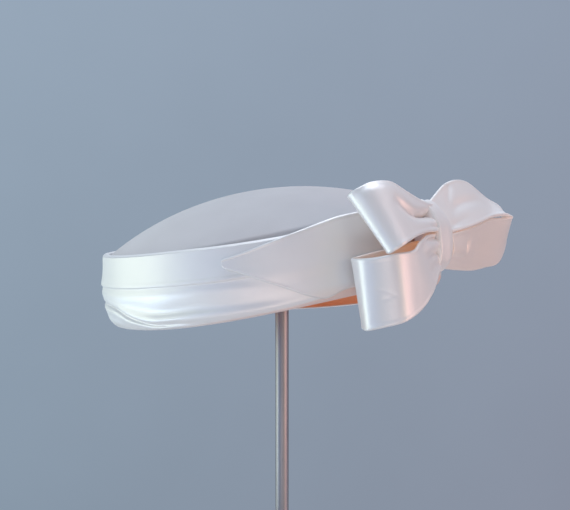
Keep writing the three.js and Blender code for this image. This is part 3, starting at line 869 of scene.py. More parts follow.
@dataclass
class Crown:
    """The low domed crown.

    Args:
        hat: the shape that it is laid on.
        band: the band that it starts inside of.
        rise: height of the dome above the band.
        wall: its thickness.
        skirt: how far it reaches down inside the band.
        gap: between it and the band.
        around: steps round the dome.
        steps: steps from its middle to its edge.
        drops: a run down its skirt, in shares of the skirt.
        inside_warmth: how strongly warm bounced light in shade is painted on its inside.
    """

    hat: HatShape
    band: SideBand
    rise: float = 27.9 * MM
    wall: float = 1.6 * MM
    skirt: float = 4 * MM
    gap: float = 0.3 * MM
    around: int = 192
    steps: int = 56
    drops: Run = (0.15, 1, 5)
    inside_warmth: float = 0.8

    def build(self) -> bpy.types.Object:
        """The crown, dressed.

        Returns:
            The finished piece.
        """
        mean = (self.hat.half_width + self.hat.half_length) / 2
        top_inset = self.band.turn_in * float(self.band.section.rows[-1][1])
        edge_inset = top_inset + self.band.wall + self.band.fold_room + self.gap
        edge = mean - edge_inset
        radius = (edge**2 + self.rise**2) / (2 * self.rise)
        turn = np.linspace(0, 360, self.around, endpoint=False)[:, None]

        def face(depth: float) -> np.ndarray:
            """One face of the dome, from near its middle to its edge."""
            share = np.linspace(0.5 / self.steps, 1, self.steps)[None, :]
            outward = edge * share
            dome = np.sqrt((radius - depth) ** 2 - (outward - depth * share) ** 2) - radius
            reach = share * (1 - (edge_inset + depth) / mean)
            rim = self.hat.point(turn, 0.0, 0.0)
            height = self.band.height + self.rise + dome + self.hat.rim_lift(turn) * share**2
            return np.stack([rim[..., 0] * reach, rim[..., 1] * reach, height], -1)

        outer, inner = face(0.0), face(self.wall)[:, ::-1]
        heights = self.band.height - self.skirt * spaced(self.drops)
        skirt_out = self.hat.point(turn, -edge_inset, heights)
        skirt_in = self.hat.point(turn, -edge_inset - self.wall, heights[:, ::-1])
        rows = np.concatenate([outer, skirt_out, skirt_in, inner], 1)
        # The second half of each row of points is the inside, which gets painted warm shade.
        warmth = np.zeros(rows.shape[:2])
        warmth[:, rows.shape[1] // 2 :] = self.inside_warmth
        faces = grid_faces(self.around, rows.shape[1], True, False)
        first = np.arange(self.around) * rows.shape[1]
        faces.append(tuple(first[::-1].tolist()))
        faces.append(tuple((first + rows.shape[1] - 1).tolist()))
        piece = mesh_piece("crown_crepe", self.hat.placed(rows), faces, rows[..., :2], warmth)
        dress(piece, "crown", CREPE)
        return piece


@dataclass
class WrapStrip:
    """The satin strip that lies over the band, from its pointed tip to the bow.

    Args:
        hat: the shape that it is laid on.
        band: the band that it lies over.
        wall: its thickness.
        gap: between it and the band.
        lift: how much further it stands out, so that it clears the band's folds.
        along: steps from the tip to its end.
        across: steps from its low to its high edge.
        crowding: the steps crowd together towards the tip where this is more than 1.
        hem_warmth: how strongly warm light from below is painted on its lowest part beside the bow.
        hem_rises: that painted light begins below the first of these shares of the band's height.
        hem_turns: it begins before the first of these turns.
        bow_warmth: how strongly warm bounced light in the bow's shade is painted on it under the bow.
        bow_turns: that painted light begins before the first of these turns, and is whole at the second.
        rows: its low and high edge, as shares of the band's height, from the tip to its end.
    """

    hat: HatShape
    band: SideBand
    wall: float = 1.3 * MM
    gap: float = 0.3 * MM
    lift: float = 0.2 * MM
    along: int = 170
    across: int = 48
    crowding: float = 1.25
    hem_warmth: float = 0.14
    hem_rises: tuple[float, float] = (0.2, 0.1)
    hem_turns: tuple[float, float] = (50, 38)
    bow_warmth: float = 0.35
    bow_turns: tuple[float, float] = (20, 16)
    rows: Table = Table(
        ("turn", "low", "high"),
        (
            (72.6, 0.7, 0.788), (72.3, 0.68, 0.796), (71.4, 0.656, 0.803), (70.2, 0.632, 0.808),
            (67.4, 0.579, 0.826), (64.9, 0.52, 0.843), (58.5, 0.375, 0.893), (52.8, 0.241, 0.938),
            (46.8, 0.104, 0.98), (42, 0.048, 1.015), (36, 0.105, 1.05), (28, 0.118, 1.06), (10, 0.12, 1.06),
            (-6, 0.12, 1.05), (-16, 0.15, 1.02),
        ),
    )

    def build(self) -> bpy.types.Object:
        """The strip, dressed.

        Returns:
            The finished piece.
        """
        turns = self.rows.column("turn")
        share = np.linspace(0, 1, self.along) ** self.crowding
        turn = (turns[0] + (turns[-1] - turns[0]) * share)[:, None]
        low = self.rows.read("turn", "low", turn)
        high = self.rows.read("turn", "high", turn)
        rise = low + (high - low) * np.linspace(0, 1, self.across)[None, :]
        out = self.band.stand(turn, rise) + self.gap + self.wall / 2 + self.lift
        middle = self.hat.point(turn, out, rise * self.band.height)
        ribbon = RibbonSkin(middle, self.wall / 2, hem=0.25 * MM, hem_width=1.3 * MM)
        # Painted light on the strip: warm light from below near its lowest edge, and warm bounced light in
        # the shade under the bow.
        hem = self.hem_warmth * part_way(rise, *self.hem_rises) * part_way(turn, *self.hem_turns)
        bow_light = self.bow_warmth * smooth_step(part_way(turn, *self.bow_turns))
        piece = ribbon.piece("strip_satin", self.hat.placed, np.maximum(hem, bow_light))
        dress(piece, "wrap_strip", SATIN)
        return piece


@dataclass
class RibbonSkin:
    """The two faces and rounded edges of a ribbon, laid about a grid of points along its middle.

    Args:
        middle: the grid, from one end of the ribbon to the other, each row from edge to edge.
        half: half the ribbon's thickness.
        hem: how much thicker its edges are.
        hem_width: how wide its edges are.
        hem_fade: over what width they grow thin again.
        thinnest: the square of the share of its thickness that is left at its very edge.
    """

    middle: np.ndarray
    half: float
    hem: float = 0.2 * MM
    hem_width: float = 2.2 * MM
    hem_fade: float = 0.5 * MM
    thinnest: float = 0.06

    def spans(self) -> tuple[np.ndarray, np.ndarray]:
        """The distance of each point from the ribbon's start and from its first edge."""
        along = np.linalg.norm(np.diff(self.middle, axis=0), axis=-1)
        over = np.linalg.norm(np.diff(self.middle, axis=1), axis=-1)
        start = np.zeros((1, self.middle.shape[1]))
        edge = np.zeros((self.middle.shape[0], 1))
        return np.concatenate([start, np.cumsum(along, 0)]), np.concatenate([edge, np.cumsum(over, 1)], 1)

    def flat(self) -> tuple[float, float]:
        """The ribbon's width and length when it is laid flat."""
        along, over = self.spans()
        return float(over[:, -1].max()), float(along[-1].max())

    def area(self) -> float:
        """The ribbon's area when it is laid flat, as cut to this outline."""
        width, length = self.flat()
        a, b = np.diff(self.middle, axis=0)[:, :-1], np.diff(self.middle, axis=1)[:-1]
        area = float(np.linalg.norm(np.cross(a, b), axis=-1).sum())
        return float(np.clip(area, LEAST_CUT * width * length, width * length))

    def piece(self, name: str, placed: Placing, warmth: np.ndarray) -> bpy.types.Object:
        """The ribbon as an object.

        Args:
            name: the piece's name.
            placed: a function that puts points in their place in the frame.
            warmth: the painted warm light and shade of each point of the grid, or of each point of both
                faces.

        Returns:
            The object.
        """
        normal = square_to(self.middle)
        along, over = self.spans()
        width = over[:, -1:]
        from_edge = np.minimum(over, width - over)
        rounding = np.sqrt(np.clip(1 - (1 - np.clip(from_edge / self.half, 0, 1)) ** 2, self.thinnest, 1))
        hemmed = self.hem * smooth_step((self.hem_width - from_edge) / self.hem_fade)
        half = (self.half * rounding + hemmed * rounding)[..., None]
        front = self.middle + normal * half
        back = (self.middle - normal * half)[:, ::-1]
        rows = np.concatenate([front, back], 1)
        cloth = np.stack([over, along], -1)
        if warmth.ndim == 2:
            warmth = np.stack([warmth, warmth])
        light_paint = np.concatenate([warmth[0], warmth[1][:, ::-1]], 1)
        count, columns = rows.shape[:2]
        faces = grid_faces(count, columns, False, True)
        faces += self.end_faces(0, columns, True) + self.end_faces((count - 1) * columns, columns, False)
        return mesh_piece(name, placed(rows), faces, np.concatenate([cloth, cloth[:, ::-1]], 1), light_paint)

    @staticmethod
    def end_faces(start: int, columns: int, turned: bool) -> list[tuple[int, ...]]:
        """Faces that close one end of the ribbon.

        Args:
            start: number of the end's first point.
            columns: how many points the end has.
            turned: whether the faces look back along the ribbon.

        Returns:
            Four corners for each face.
        """
        faces = []
        for j in range(columns // 2 - 1):
            face = (start + j, start + j + 1, start + columns - 2 - j, start + columns - 1 - j)
            faces.append(face[::-1] if turned else face)
        return faces


@dataclass(frozen=True)
class Crease:
    """A dent, pleat or crease in a ribbon.

    Args:
        route: where it runs: place along the loop in rows of its table, place across it from 0 at its
            first edge to 1 at its second, and share of the depth.
        depth: how deep it is, or how high where it is negative.
        left: how far it reaches to the left of its route.
        right: how far it reaches to the right of its route.
        fineness: steps between two points of its route.
        fade: over how many rows of the table it fades at the end of its reach.
    """

    route: tuple[tuple[float, float, float], ...]
    depth: float
    left: float
    right: float
    fineness: int = 10
    fade: float = 0.5

    def dent(self, middle: np.ndarray, rows: np.ndarray, reach: float) -> np.ndarray:
        """How far it pushes the ribbon in.

        Args:
            middle: the ribbon's grid of points.
            rows: the table's row number of each of the grid's rows.
            reach: how many rows of the table away the crease still counts.

        Returns:
            The depth at each point of the grid.
        """
        knots = np.array(self.route)
        steps = np.linspace(0, len(knots) - 1, self.fineness * (len(knots) - 1) + 1)
        fine = np.stack([np.interp(steps, np.arange(len(knots)), knots[:, k]) for k in range(3)], -1)
        if len(knots) > 2:
            fine = smooth_curve(knots, steps)
        i = np.interp(fine[:, 0], rows, np.arange(len(rows)))
        j = fine[:, 1] * (middle.shape[1] - 1)
        i0, j0 = np.clip(i.astype(int), 0, len(rows) - 2), np.clip(j.astype(int), 0, middle.shape[1] - 2)
        si, sj = (i - i0)[:, None], (j - j0)[:, None]
        points = (
            middle[i0, j0] * (1 - si) * (1 - sj) + middle[i0 + 1, j0] * si * (1 - sj)
            + middle[i0, j0 + 1] * (1 - si) * sj + middle[i0 + 1, j0 + 1] * si * sj
        )
        start, span = points[:-1], np.diff(points, axis=0)
        flat = middle.reshape(-1, 3)
        offset = flat[:, None] - start
        t = np.clip((offset * span).sum(-1) / np.maximum((span**2).sum(-1), 1e-12), 0, 1)
        apart = offset - t[..., None] * span
        gap = np.linalg.norm(apart, axis=-1)
        best = gap.argmin(1)
        pick = np.arange(len(flat))
        at = best + t[pick, best]
        share = np.clip(np.interp(at, np.arange(len(fine)), fine[:, 2]), 0, 1)
        row = np.interp(at, np.arange(len(fine)), fine[:, 0])
        side = (np.cross(square_to(middle).reshape(-1, 3), span[best]) * apart[pick, best]).sum(-1)
        width = np.where(side > 0, self.left, self.right)
        near = smooth_step((reach - np.abs(np.repeat(rows, middle.shape[1]) - row)) / self.fade)
        dent = self.depth * share * np.exp(-((gap[pick, best] / width) ** 2)) * near
        return dent.reshape(middle.shape[:2])


@dataclass
class RibbonLoop:
    """One loop of the bow.

    Args:
        name: the piece's name.
        node: the frame's node that it stands for.
        side: 1 on the wearer's left and -1 on the right.
        rows: its two edges, from its back layer at the knot, round its folded end, to its front layer.
        creases: its dents and pleats.
        crease_reach: how many rows of the table away from its route a crease still counts.
        inside_warmth: how strongly warm bounced light in shade is painted on its inside, at the least.
        depth_warmth: how much more of that painted light it gets towards the knot, where the shade is deeper.
        painted_light_from: it gets more of it where it lies nearer to the knot than this share of its reach.
        painted_outer_light: how strongly warm light from below is painted on its outside, by rows of its
            table.
        reach: from the middle of the knot to the folded end.
        stand_off: how far the knot stands out from the strip.
        ribbon_width: the ribbon's width.
        wall: the ribbon's thickness.
        steps: steps for each row of the table.
        across: steps across the ribbon.
    """

    name: str
    node: str
    side: int
    rows: Table
    creases: tuple[Crease, ...] = ()
    crease_reach: float = 1.6
    inside_warmth: float = 0.15
    depth_warmth: float = 0.55
    painted_light_from: float = 0.6
    painted_outer_light: Table = Table(("row", "warmth"), ((0, 0), (12, 0)))
    reach: float = 64 * MM
    stand_off: float = 16 * MM
    ribbon_width: float = 38 * MM
    wall: float = 1.5 * MM
    steps: int = 20
    across: int = 56

    def edge(self, name: str, at: np.ndarray) -> np.ndarray:
        """One edge of the ribbon, top or low, at places in rows of the table."""
        points = np.stack([
            self.side * self.reach * self.rows.column(f"{name}_across"),
            self.stand_off * self.rows.column(f"{name}_out"),
            self.ribbon_width * self.rows.column(f"{name}_up"),
        ], -1)
        return smooth_curve(points, at)

    def surface(self) -> tuple[np.ndarray, np.ndarray]:
        """The middle of the ribbon's thickness, with its dents and pleats.

        Returns:
            The row number of each of the grid's rows, and the grid of points.
        """
        count = len(self.rows.rows) - 1
        at = np.linspace(0, count, count * self.steps + 1)
        t = np.linspace(0, 1, self.across)[None, :, None]
        top, low = self.edge("top", at)[:, None], self.edge("low", at)[:, None]
        middle = top + (low - top) * t
        plain = np.zeros(middle.shape[:2])
        dent = sum((crease.dent(middle, at, self.crease_reach) for crease in self.creases), plain)
        return at, middle + square_to(middle) * dent[..., None]

    def build(self, placed: Placing) -> bpy.types.Object:
        """The loop, dressed.

        Args:
            placed: a function that puts the bow's points in their place in the frame.

        Returns:
            The finished piece.
        """
        at, middle = self.surface()
        skin = RibbonSkin(middle, self.wall / 2)
        # Painted light: warm bounced light in the shaded inside, stronger towards the knot, and warm light
        # from below on the outside.
        depth = part_way(np.abs(middle[..., 0]) / self.reach, self.painted_light_from, 0)
        inner = self.inside_warmth + self.depth_warmth * depth
        outer = self.painted_outer_light.read("row", "warmth", at)[:, None]
        piece = skin.piece(self.name, placed, np.stack(np.broadcast_arrays(inner, outer)))
        dress(piece, self.node, RIBBON_SATIN)
        return piece


@dataclass
class Knot:
    """The gathered band of cloth across the middle of the bow.

    Args:
        width: its width along the bow.
        shift: how far its middle lies towards the wearer's left.
        height: its height.
        stand_off: how far it stands out from the strip.
        around: steps round it.
        across: steps along the bow.
        outline: its outline from the side, in shares of its stand-off and its height.
        sections: its size from its right to its left end.
        pleats: the grooves round it: place, depth in millimetres, width, and how far they lean.
    """

    width: float = 22.5 * MM
    shift: float = 1.75 * MM
    height: float = 39 * MM
    stand_off: float = 16 * MM
    around: int = 168
    across: int = 56
    outline: Table = Table(
        ("out", "up"),
        (
            (0.12, 0.45), (0.4, 0.49), (0.66, 0.39), (0.84, 0.26), (0.95, 0.12), (0.97, -0.03),
            (0.93, -0.22), (0.8, -0.38), (0.5, -0.48), (0.15, -0.45), (0.0, -0.3), (0.0, 0.0), (0.0, 0.3),
        ),
    )
    sections: Table = Table(
        ("across", "size"),
        (
            (-1.0, 0.45), (-0.8, 0.6), (-0.5, 0.8), (-0.2, 0.94), (0.1, 1.0), (0.5, 0.99),
            (0.78, 0.985), (0.88, 1.01), (0.95, 1.0), (1.0, 0.9),
        ),
    )
    pleats: Table = Table(
        ("across", "depth", "width", "lean"),
        ((-0.3, 0.25, 0.26, 0.12), (0.4, 0.12, 0.2, 0.06)),
    )

    def build(self, placed: Placing) -> bpy.types.Object:
        """The knot, dressed.

        Args:
            placed: a function that puts the bow's points in their place in the frame.

        Returns:
            The finished piece.
        """
        points = np.stack([
            np.zeros(len(self.outline.rows)),
            self.stand_off * self.outline.column("out"),
            self.height * self.outline.column("up"),
        ], -1)
        at = np.linspace(0, len(points), self.around, endpoint=False)
        ring = smooth_curve(points, at, closed=True)
        centre = np.array([0.0, self.stand_off / 2, 0.0])
        share = np.sin(np.linspace(-math.pi / 2, math.pi / 2, self.across))
        size = self.sections.read("across", "size", share)
        spokes = ring - centre
        length = np.linalg.norm(spokes, axis=1)
        rows = []
        for place, scale in zip(share, size):
            groove = np.zeros(self.around)
            for across, depth, width, lean in self.pleats.rows:
                shift = across + lean * np.sin(2 * math.pi * at / len(points))
                groove += depth * MM * np.exp(-(((place - shift) / width) ** 2))
            row = centre + spokes * ((scale * length - groove) / length)[:, None]
            row[:, 0] = place * self.width / 2 + self.shift
            rows.append(row)
        rows = np.stack(rows)
        count, columns = rows.shape[:2]
        faces = grid_faces(count, columns, False, True)
        first = np.arange(columns)
        faces.append(tuple(first.tolist()))
        faces.append(tuple((first[::-1] + (count - 1) * columns).tolist()))
        girth = np.concatenate([[0], np.cumsum(np.linalg.norm(np.diff(ring, axis=0), axis=1))])
        cloth = np.stack(np.broadcast_arrays(rows[..., 0], girth[None, :]), -1)
        piece = mesh_piece("knot_satin", placed(rows), faces, cloth)
        dress(piece, "bow_knot", SATIN)
        return piece


LOOP_COLUMNS = ("top_across", "top_out", "top_up", "low_across", "low_out", "low_up")


@dataclass
class Bow:
    """The bow at the back of the hat: three loops of ribbon and their knot.

    Args:
        hat: the shape that it is fixed to.
        strip: the strip that it lies on.
        strip_wall: the thickness of the strip's solid in the frame.
        height: of the middle of the knot above the rim.
        upper: the upper loop, on the wearer's left.
        lower: the lower loop, on the same side.
        right: the loop on the wearer's right.
        knot: the gathered band across the middle.
    """

    hat: HatShape
    strip: WrapStrip
    strip_wall: float = 1.4 * MM
    height: float = 27.5 * MM
    upper: RibbonLoop = field(default_factory=lambda: RibbonLoop(
        "loop_upper_satin", "bow_loop_upper", 1,
        rows=Table(LOOP_COLUMNS, (
            (0.06, 0.22, 0.34, 0.06, 0.24, 0.08),
            (0.22, 0.13, 0.42, 0.22, 0.24, 0.06),
            (0.48, -0.02, 0.55, 0.5, 0.28, -0.02),
            (0.72, -0.36, 0.64, 0.73, 0.34, -0.1),
            (0.84, -0.6, 0.64, 0.85, 0.48, -0.17),
            (0.91, -0.58, 0.62, 0.91, 0.61, -0.2),
            (0.94, -0.2, 0.69, 0.92, 0.88, -0.16),
            (0.87, 0.2, 0.77, 0.87, 1.1, -0.1),
            (0.71, 0.51, 0.76, 0.69, 1.11, -0.02),
            (0.52, 0.66, 0.58, 0.5, 1.08, 0.03),
            (0.31, 0.64, 0.48, 0.34, 1.02, 0.04),
            (0.06, 0.54, 0.43, 0.06, 0.72, 0.05),
        )),
        creases=(
            Crease(((7.6, 0.3, 0), (8, 0.42, 0.5), (8.4, 0.5, 0.8), (9, 0.53, 1), (10.2, 0.4, 1),
                    (11, 0.33, 1)), 3.2 * MM, 4.5 * MM, 2.4 * MM),
            Crease(((5.6, 0, 0), (6.4, 0, 0.8), (7.4, 0, 1), (8.2, 0, 0.6), (9, 0, 0)),
                   2.4 * MM, 3.2 * MM, 3.2 * MM),
            Crease(((9, 0.53, 0), (9.7, 0.46, 1), (11, 0.35, 1)), 3.2 * MM, 1.2 * MM, 1.2 * MM),
            Crease(((8, 0.78, 0), (9.3, 0.73, 0.8), (11, 0.66, 1)), -1.5 * MM, 3 * MM, 3 * MM),
            Crease(((9.4, 0.86, 0), (10.2, 0.84, 0.7), (11, 0.8, 1)), 1.0 * MM, 1.5 * MM, 1.5 * MM),
        ),
    ))
    lower: RibbonLoop = field(default_factory=lambda: RibbonLoop(
        "loop_lower_satin", "bow_loop_lower", 1,
        rows=Table(LOOP_COLUMNS, (
            (0.06, 0.2, -0.03, 0.06, 0.2, -0.36),
            (0.22, 0.12, -0.04, 0.22, 0.14, -0.6),
            (0.46, -0.04, -0.09, 0.44, -0.16, -0.92),
            (0.71, -0.46, -0.14, 0.67, -0.52, -1.07),
            (0.85, -0.78, -0.18, 0.81, -0.8, -1.11),
            (0.89, -0.74, -0.19, 0.86, -0.72, -1.12),
            (0.96, -0.32, -0.21, 0.95, -0.35, -1.14),
            (0.96, 0.19, -0.22, 0.94, 0.2, -1.12),
            (0.88, 0.79, -0.2, 0.86, 0.74, -1.08),
            (0.72, 1.02, -0.18, 0.68, 0.96, -0.96),
            (0.61, 1.06, -0.08, 0.47, 1.05, -0.72),
            (0.47, 1.02, 0, 0.31, 0.93, -0.53),
            (0.06, 0.64, 0.03, 0.06, 0.64, -0.39),
        )),
        creases=(
            Crease(((10.0, 0.02, 0.5), (10.1, 0.3, 1), (10.2, 0.6, 1), (10.2, 0.95, 0.4)),
                   0.8 * MM, 4.4 * MM, 4.4 * MM),
            Crease(((10.1, 0.42, 0), (10.7, 0.46, 0.4), (11.3, 0.52, 0.8), (12, 0.62, 1)),
                   1.7 * MM, 1.8 * MM, 2.2 * MM),
            Crease(((10.3, 0.06, 0), (11.1, 0.1, 0.7), (12, 0.15, 1)), 1.8 * MM, 1.4 * MM, 1.4 * MM),
            Crease(((9.9, 0.22, 0), (11, 0.28, 0.8), (12, 0.38, 1)), -1.2 * MM, 2.2 * MM, 2.2 * MM),
            Crease(((9.8, 0.66, 0), (10.9, 0.76, 0.6), (12, 0.88, 1)), 1.2 * MM, 2.6 * MM, 2.6 * MM),
            Crease(((6.7, 0.43, 0), (7.2, 0.49, 1), (7.6, 0.57, 0.8), (8, 0.68, 0)),
                   0.22 * MM, 0.8 * MM, 1.6 * MM),
            Crease(((6.8, 0.6, 0), (7.3, 0.61, 1), (7.9, 0.58, 0)), 0.16 * MM, 0.9 * MM, 1.2 * MM),
        ),
    ))
    right: RibbonLoop = field(default_factory=lambda: RibbonLoop(
        "loop_right_satin", "bow_loop_right", -1,
        # Painted warm light from below on the outside of the lower layer.
        painted_outer_light=Table(("row", "warmth"), ((0, 0.12), (4, 0.12), (5.5, 0.02), (10, 0.02))),
        rows=Table(LOOP_COLUMNS, (
            (0.06, 0.78, 0.02, 0.06, 0.3, -0.44),
            (0.3, 0.95, 0.07, 0.33, 0.33, -0.49),
            (0.53, 1.01, 0.13, 0.6, 0.33, -0.52),
            (0.76, 1.05, 0.19, 0.84, 0.38, -0.5),
            (0.94, 1.15, 0.19, 1.13, 0.41, -0.44),
            (1.04, 1.3, 0.2, 1.31, 0.46, -0.12),
            (0.94, 1.26, 0.22, 1.19, 0.66, 0.32),
            (0.76, 1.15, 0.21, 0.98, 0.5, 0.51),
            (0.53, 1.12, 0.14, 0.68, 0.32, 0.77),
            (0.3, 1.02, 0.07, 0.42, 0.19, 0.76),
            (0.06, 0.86, 0.02, 0.06, 0.18, 0.5),
        )),
        creases=(
            Crease(((9, 1, 0.5), (9.05, 0.88, 1), (9.2, 0.76, 1), (9.4, 0.6, 0.6), (9.55, 0.45, 0)),
                   0.8 * MM, 2.8 * MM, 2.2 * MM),
            Crease(((9.35, 0.42, 0.6), (9.1, 0.48, 0.9), (8.6, 0.5, 1), (8, 0.51, 0.7), (7.4, 0.62, 0)),
                   1.2 * MM, 3.4 * MM, 3 * MM),
            Crease(((9.7, 0.16, 1), (9.2, 0.18, 0.7), (8.5, 0.2, 0)), 0.7 * MM, 2.2 * MM, 2.2 * MM),
            Crease(((1.15, 0.35, 0.8), (1.17, 0.42, 1), (1.19, 0.49, 0.8)), 1.8 * MM, 2.3 * MM, 2.3 * MM),
            Crease(((0.2, 0.62, 1), (0.9, 0.66, 0.8), (1.8, 0.72, 0)), 1.2 * MM, 2.6 * MM, 2.6 * MM),
            Crease(((1.3, 0.5, 0), (2.2, 0.56, 1), (3.2, 0.52, 0)), 0.8 * MM, 4 * MM, 4 * MM),
            Crease(((0, 0.5, 1), (0.5, 0.5, 0.9), (1.2, 0.5, 0.4), (2, 0.5, 0)), -4.5 * MM, 8 * MM, 8 * MM),
        ),
    ))
    knot: Knot = field(default_factory=Knot)

    def placed(self, points: np.ndarray) -> np.ndarray:
        """The bow's own points, put in their place in the frame."""
        out = self.hat.half_length + self.strip.gap * 2 + self.strip_wall
        return self.hat.placed(points + np.array([0.0, out, self.height]))

    def build(self) -> list[bpy.types.Object]:
        """The bow's pieces, dressed."""
        return [part.build(self.placed) for part in (self.knot, self.upper, self.lower, self.right)]


@dataclass
class Stand:
    """The plain stand: a round foot, a thin rod and a domed pad under the crown.

    Args:
        gap: between the rod and its sockets.
        foot_edge: height of the foot's upright edge.
        foot_rings: steps from that edge to the rod.
        foot_bevel: rounding of the foot's edges.
        fine_bevel: rounding of the edges of the rod and the pad.
        pad_rounding: radius of the ball that the pad's top is a part of.
        pad_rings: steps from the pad's edge to its middle.
        pad_rim: height of the pad's upright edge, and of its boss.
        boss_radius: of the boss under the pad.
        socket_depth: how deep the hole for the rod in it is.
        sharp_from: the foot and the pad are rounded where they turn by more than this, in degrees.
    """

    gap: float = 0.3 * MM
    foot_edge: float = 5 * MM
    foot_rings: int = 12
    foot_bevel: float = 1.0 * MM
    fine_bevel: float = 0.4 * MM
    pad_rounding: float = 72 * MM
    pad_rings: int = 10
    pad_rim: float = 1.5 * MM
    boss_radius: float = 12 * MM
    socket_depth: float = 6 * MM
    sharp_from: float = 50

    @staticmethod
    def cylinder(name: str, radius: float, low: float, high: float, sides: int) -> bpy.types.Object:
        """Adds an upright cylinder on the stand's axis.

        Args:
            name: the piece's name.
            radius: its radius.
            low: height of its underside.
            high: height of its top.
            sides: how many sides it has.

        Returns:
            The cylinder, active and alone selected.
        """
        deselect_everything()
        middle = (0, 0, (low + high) / 2)
        bpy.ops.mesh.primitive_cylinder_add(vertices=sides, radius=radius, depth=high - low, location=middle)
        piece = bpy.context.object
        piece.name = name
        bpy.ops.object.transform_apply(location=True, rotation=True, scale=True)
        return piece

    @staticmethod
    def pick_cap(piece: bpy.types.Object, upward: bool) -> None:
        """Selects the big round face at one end of a piece, in edit mode."""
        bpy.ops.object.mode_set(mode="EDIT")
        bpy.ops.mesh.select_mode(type="FACE")
        bpy.ops.mesh.select_all(action="DESELECT")
        bpy.ops.object.mode_set(mode="OBJECT")
        way = 1 if upward else -1
        caps = [face for face in piece.data.polygons if len(face.vertices) > 4 and way * face.normal.z > 0.9]
        best = max(caps, key=lambda face: way * face.center.z)
        best.select = True
        bpy.ops.object.mode_set(mode="EDIT")

    @staticmethod
    def sink(depth: float) -> None:
        """Draws the picked face straight down by a depth, or up where it is negative."""
        bpy.ops.mesh.extrude_region_move(TRANSFORM_OT_translate={"value": (0, 0, -depth)})

    @staticmethod
    def raise_rings(rings: list[tuple[float, float]]) -> None:
        """Turns the picked face into rings, each a radius and a height, from the face's own edge inwards."""
        for (radius, height), (next_radius, next_height) in zip(rings, rings[1:]):
            bpy.ops.mesh.inset(thickness=radius - next_radius)
            bpy.ops.transform.translate(value=(0, 0, next_height - height))

    def rod_box(self) -> tuple[float, float, float]:
        """The rod's radius, and the height of its two ends."""
        low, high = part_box("stand_rod")
        return (high[0] - low[0]) / 2, low[2], high[2]

    def dressed(self, piece: bpy.types.Object, node: str, finish: Finish) -> bpy.types.Object:
        """Shades a piece of the stand and dresses it.

        Args:
            piece: the piece.
            node: the frame's node that it stands for.
            finish: its finish.

        Returns:
            The piece.
        """
        select_only(piece)
        bpy.ops.object.transform_apply(location=True, rotation=True, scale=True)
        bpy.ops.object.shade_smooth_by_angle(angle=SMOOTH_BELOW)
        return dress(piece, node, finish)

    def build_base(self) -> bpy.types.Object:
        """The round foot, a low dome with a socket for the rod."""
        low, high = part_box("stand_base")
        rod_radius, rod_low, _ = self.rod_box()
        radius, socket = (high[0] - low[0]) / 2, rod_radius + self.gap
        piece = self.cylinder("stand_foot", radius, low[2], self.foot_edge, 160)
        self.pick_cap(piece, True)
        rings = [(radius, self.foot_edge)]
        for i in range(1, self.foot_rings + 1):
            out = radius + (socket - radius) * i / self.foot_rings
            rings.append((out, self.foot_edge + (high[2] - self.foot_edge) * (1 - (out / radius) ** 2)))
        self.raise_rings(rings)
        self.sink(rings[-1][1] + self.gap - rod_low)
        bpy.ops.object.mode_set(mode="OBJECT")
        round_edges(piece, self.foot_bevel, 4, self.sharp_from)
        return self.dressed(piece, "stand_base", PAINT)

    def build_rod(self) -> bpy.types.Object:
        """The thin round rod."""
        piece = self.cylinder("stand_upright", *self.rod_box(), 64)
        round_edges(piece, self.fine_bevel, 2)
        return self.dressed(piece, "stand_rod", STEEL)

    def build_pad(self) -> bpy.types.Object:
        """The domed pad that carries the crown, with a boss below for the rod."""
        low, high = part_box("stand_top")
        rod_radius, _, rod_high = self.rod_box()
        radius = (high[0] - low[0]) / 2
        edge = high[2] - (self.pad_rounding - math.sqrt(self.pad_rounding**2 - radius**2))
        piece = self.cylinder("stand_pad", radius, edge - self.pad_rim, edge, 96)
        self.pick_cap(piece, True)
        rings = [(radius, edge)]
        for i in range(1, self.pad_rings + 1):
            angle = math.asin(radius / self.pad_rounding) * (1 - i / (self.pad_rings + 1))
            height = high[2] - self.pad_rounding * (1 - math.cos(angle))
            rings.append((self.pad_rounding * math.sin(angle), height))
        self.raise_rings(rings)
        bpy.ops.object.mode_set(mode="OBJECT")
        self.pick_cap(piece, False)
        boss_low = rod_high + self.gap - self.socket_depth
        self.raise_rings([(radius, edge - self.pad_rim), (self.boss_radius, boss_low + self.pad_rim)])
        self.sink(self.pad_rim)
        bpy.ops.mesh.inset(thickness=self.boss_radius - rod_radius - self.gap)
        self.sink(-self.socket_depth)
        bpy.ops.object.mode_set(mode="OBJECT")
        round_edges(piece, self.fine_bevel, 3, self.sharp_from)
        return self.dressed(piece, "stand_top", PAINT)

    def build(self) -> list[bpy.types.Object]:
        """The stand's pieces, dressed."""
        return [self.build_base(), self.build_rod(), self.build_pad()]


class LightRole(Enum):
    """What each studio light is there for."""

    KEY = "the cool window light from the left"
    SIDE = "the same window's light from nearer to the camera"
    LOW = "its light that comes back from a table on the left"
    TOP = "the soft light from above"
    WARM = "the warm light from the right"
    BACK = "the low sun from behind on the right"
    NEAR = "the faint light of the room, from below on the camera's side"


@dataclass(frozen=True)
class SoftBox:
    """A square area light that looks at the hat.

    Args:
        role: what it is there for.
        place: where it stands.
        size: its side.
        power: its power in watts.
        colour: its colour.
        target: where it looks.
    """

    role: LightRole
    place: tuple[float, float, float]
    size: float
    power: float
    colour: Colour
    target: tuple[float, float, float] = (0.0, 0.0, 0.25)

    def build(self) -> bpy.types.Object:
        """The light."""
        data = bpy.data.lights.new(self.role.name.lower(), "AREA")
        data.size, data.energy, data.color = self.size, self.power, self.colour
        light = bpy.data.objects.new(data.name, data)
        light.location = self.place
        away = Vector(self.place) - Vector(self.target)
        light.rotation_euler = away.to_track_quat("Z", "Y").to_euler()
        light.visible_camera = False
        bpy.context.scene.collection.objects.link(light)
        return light


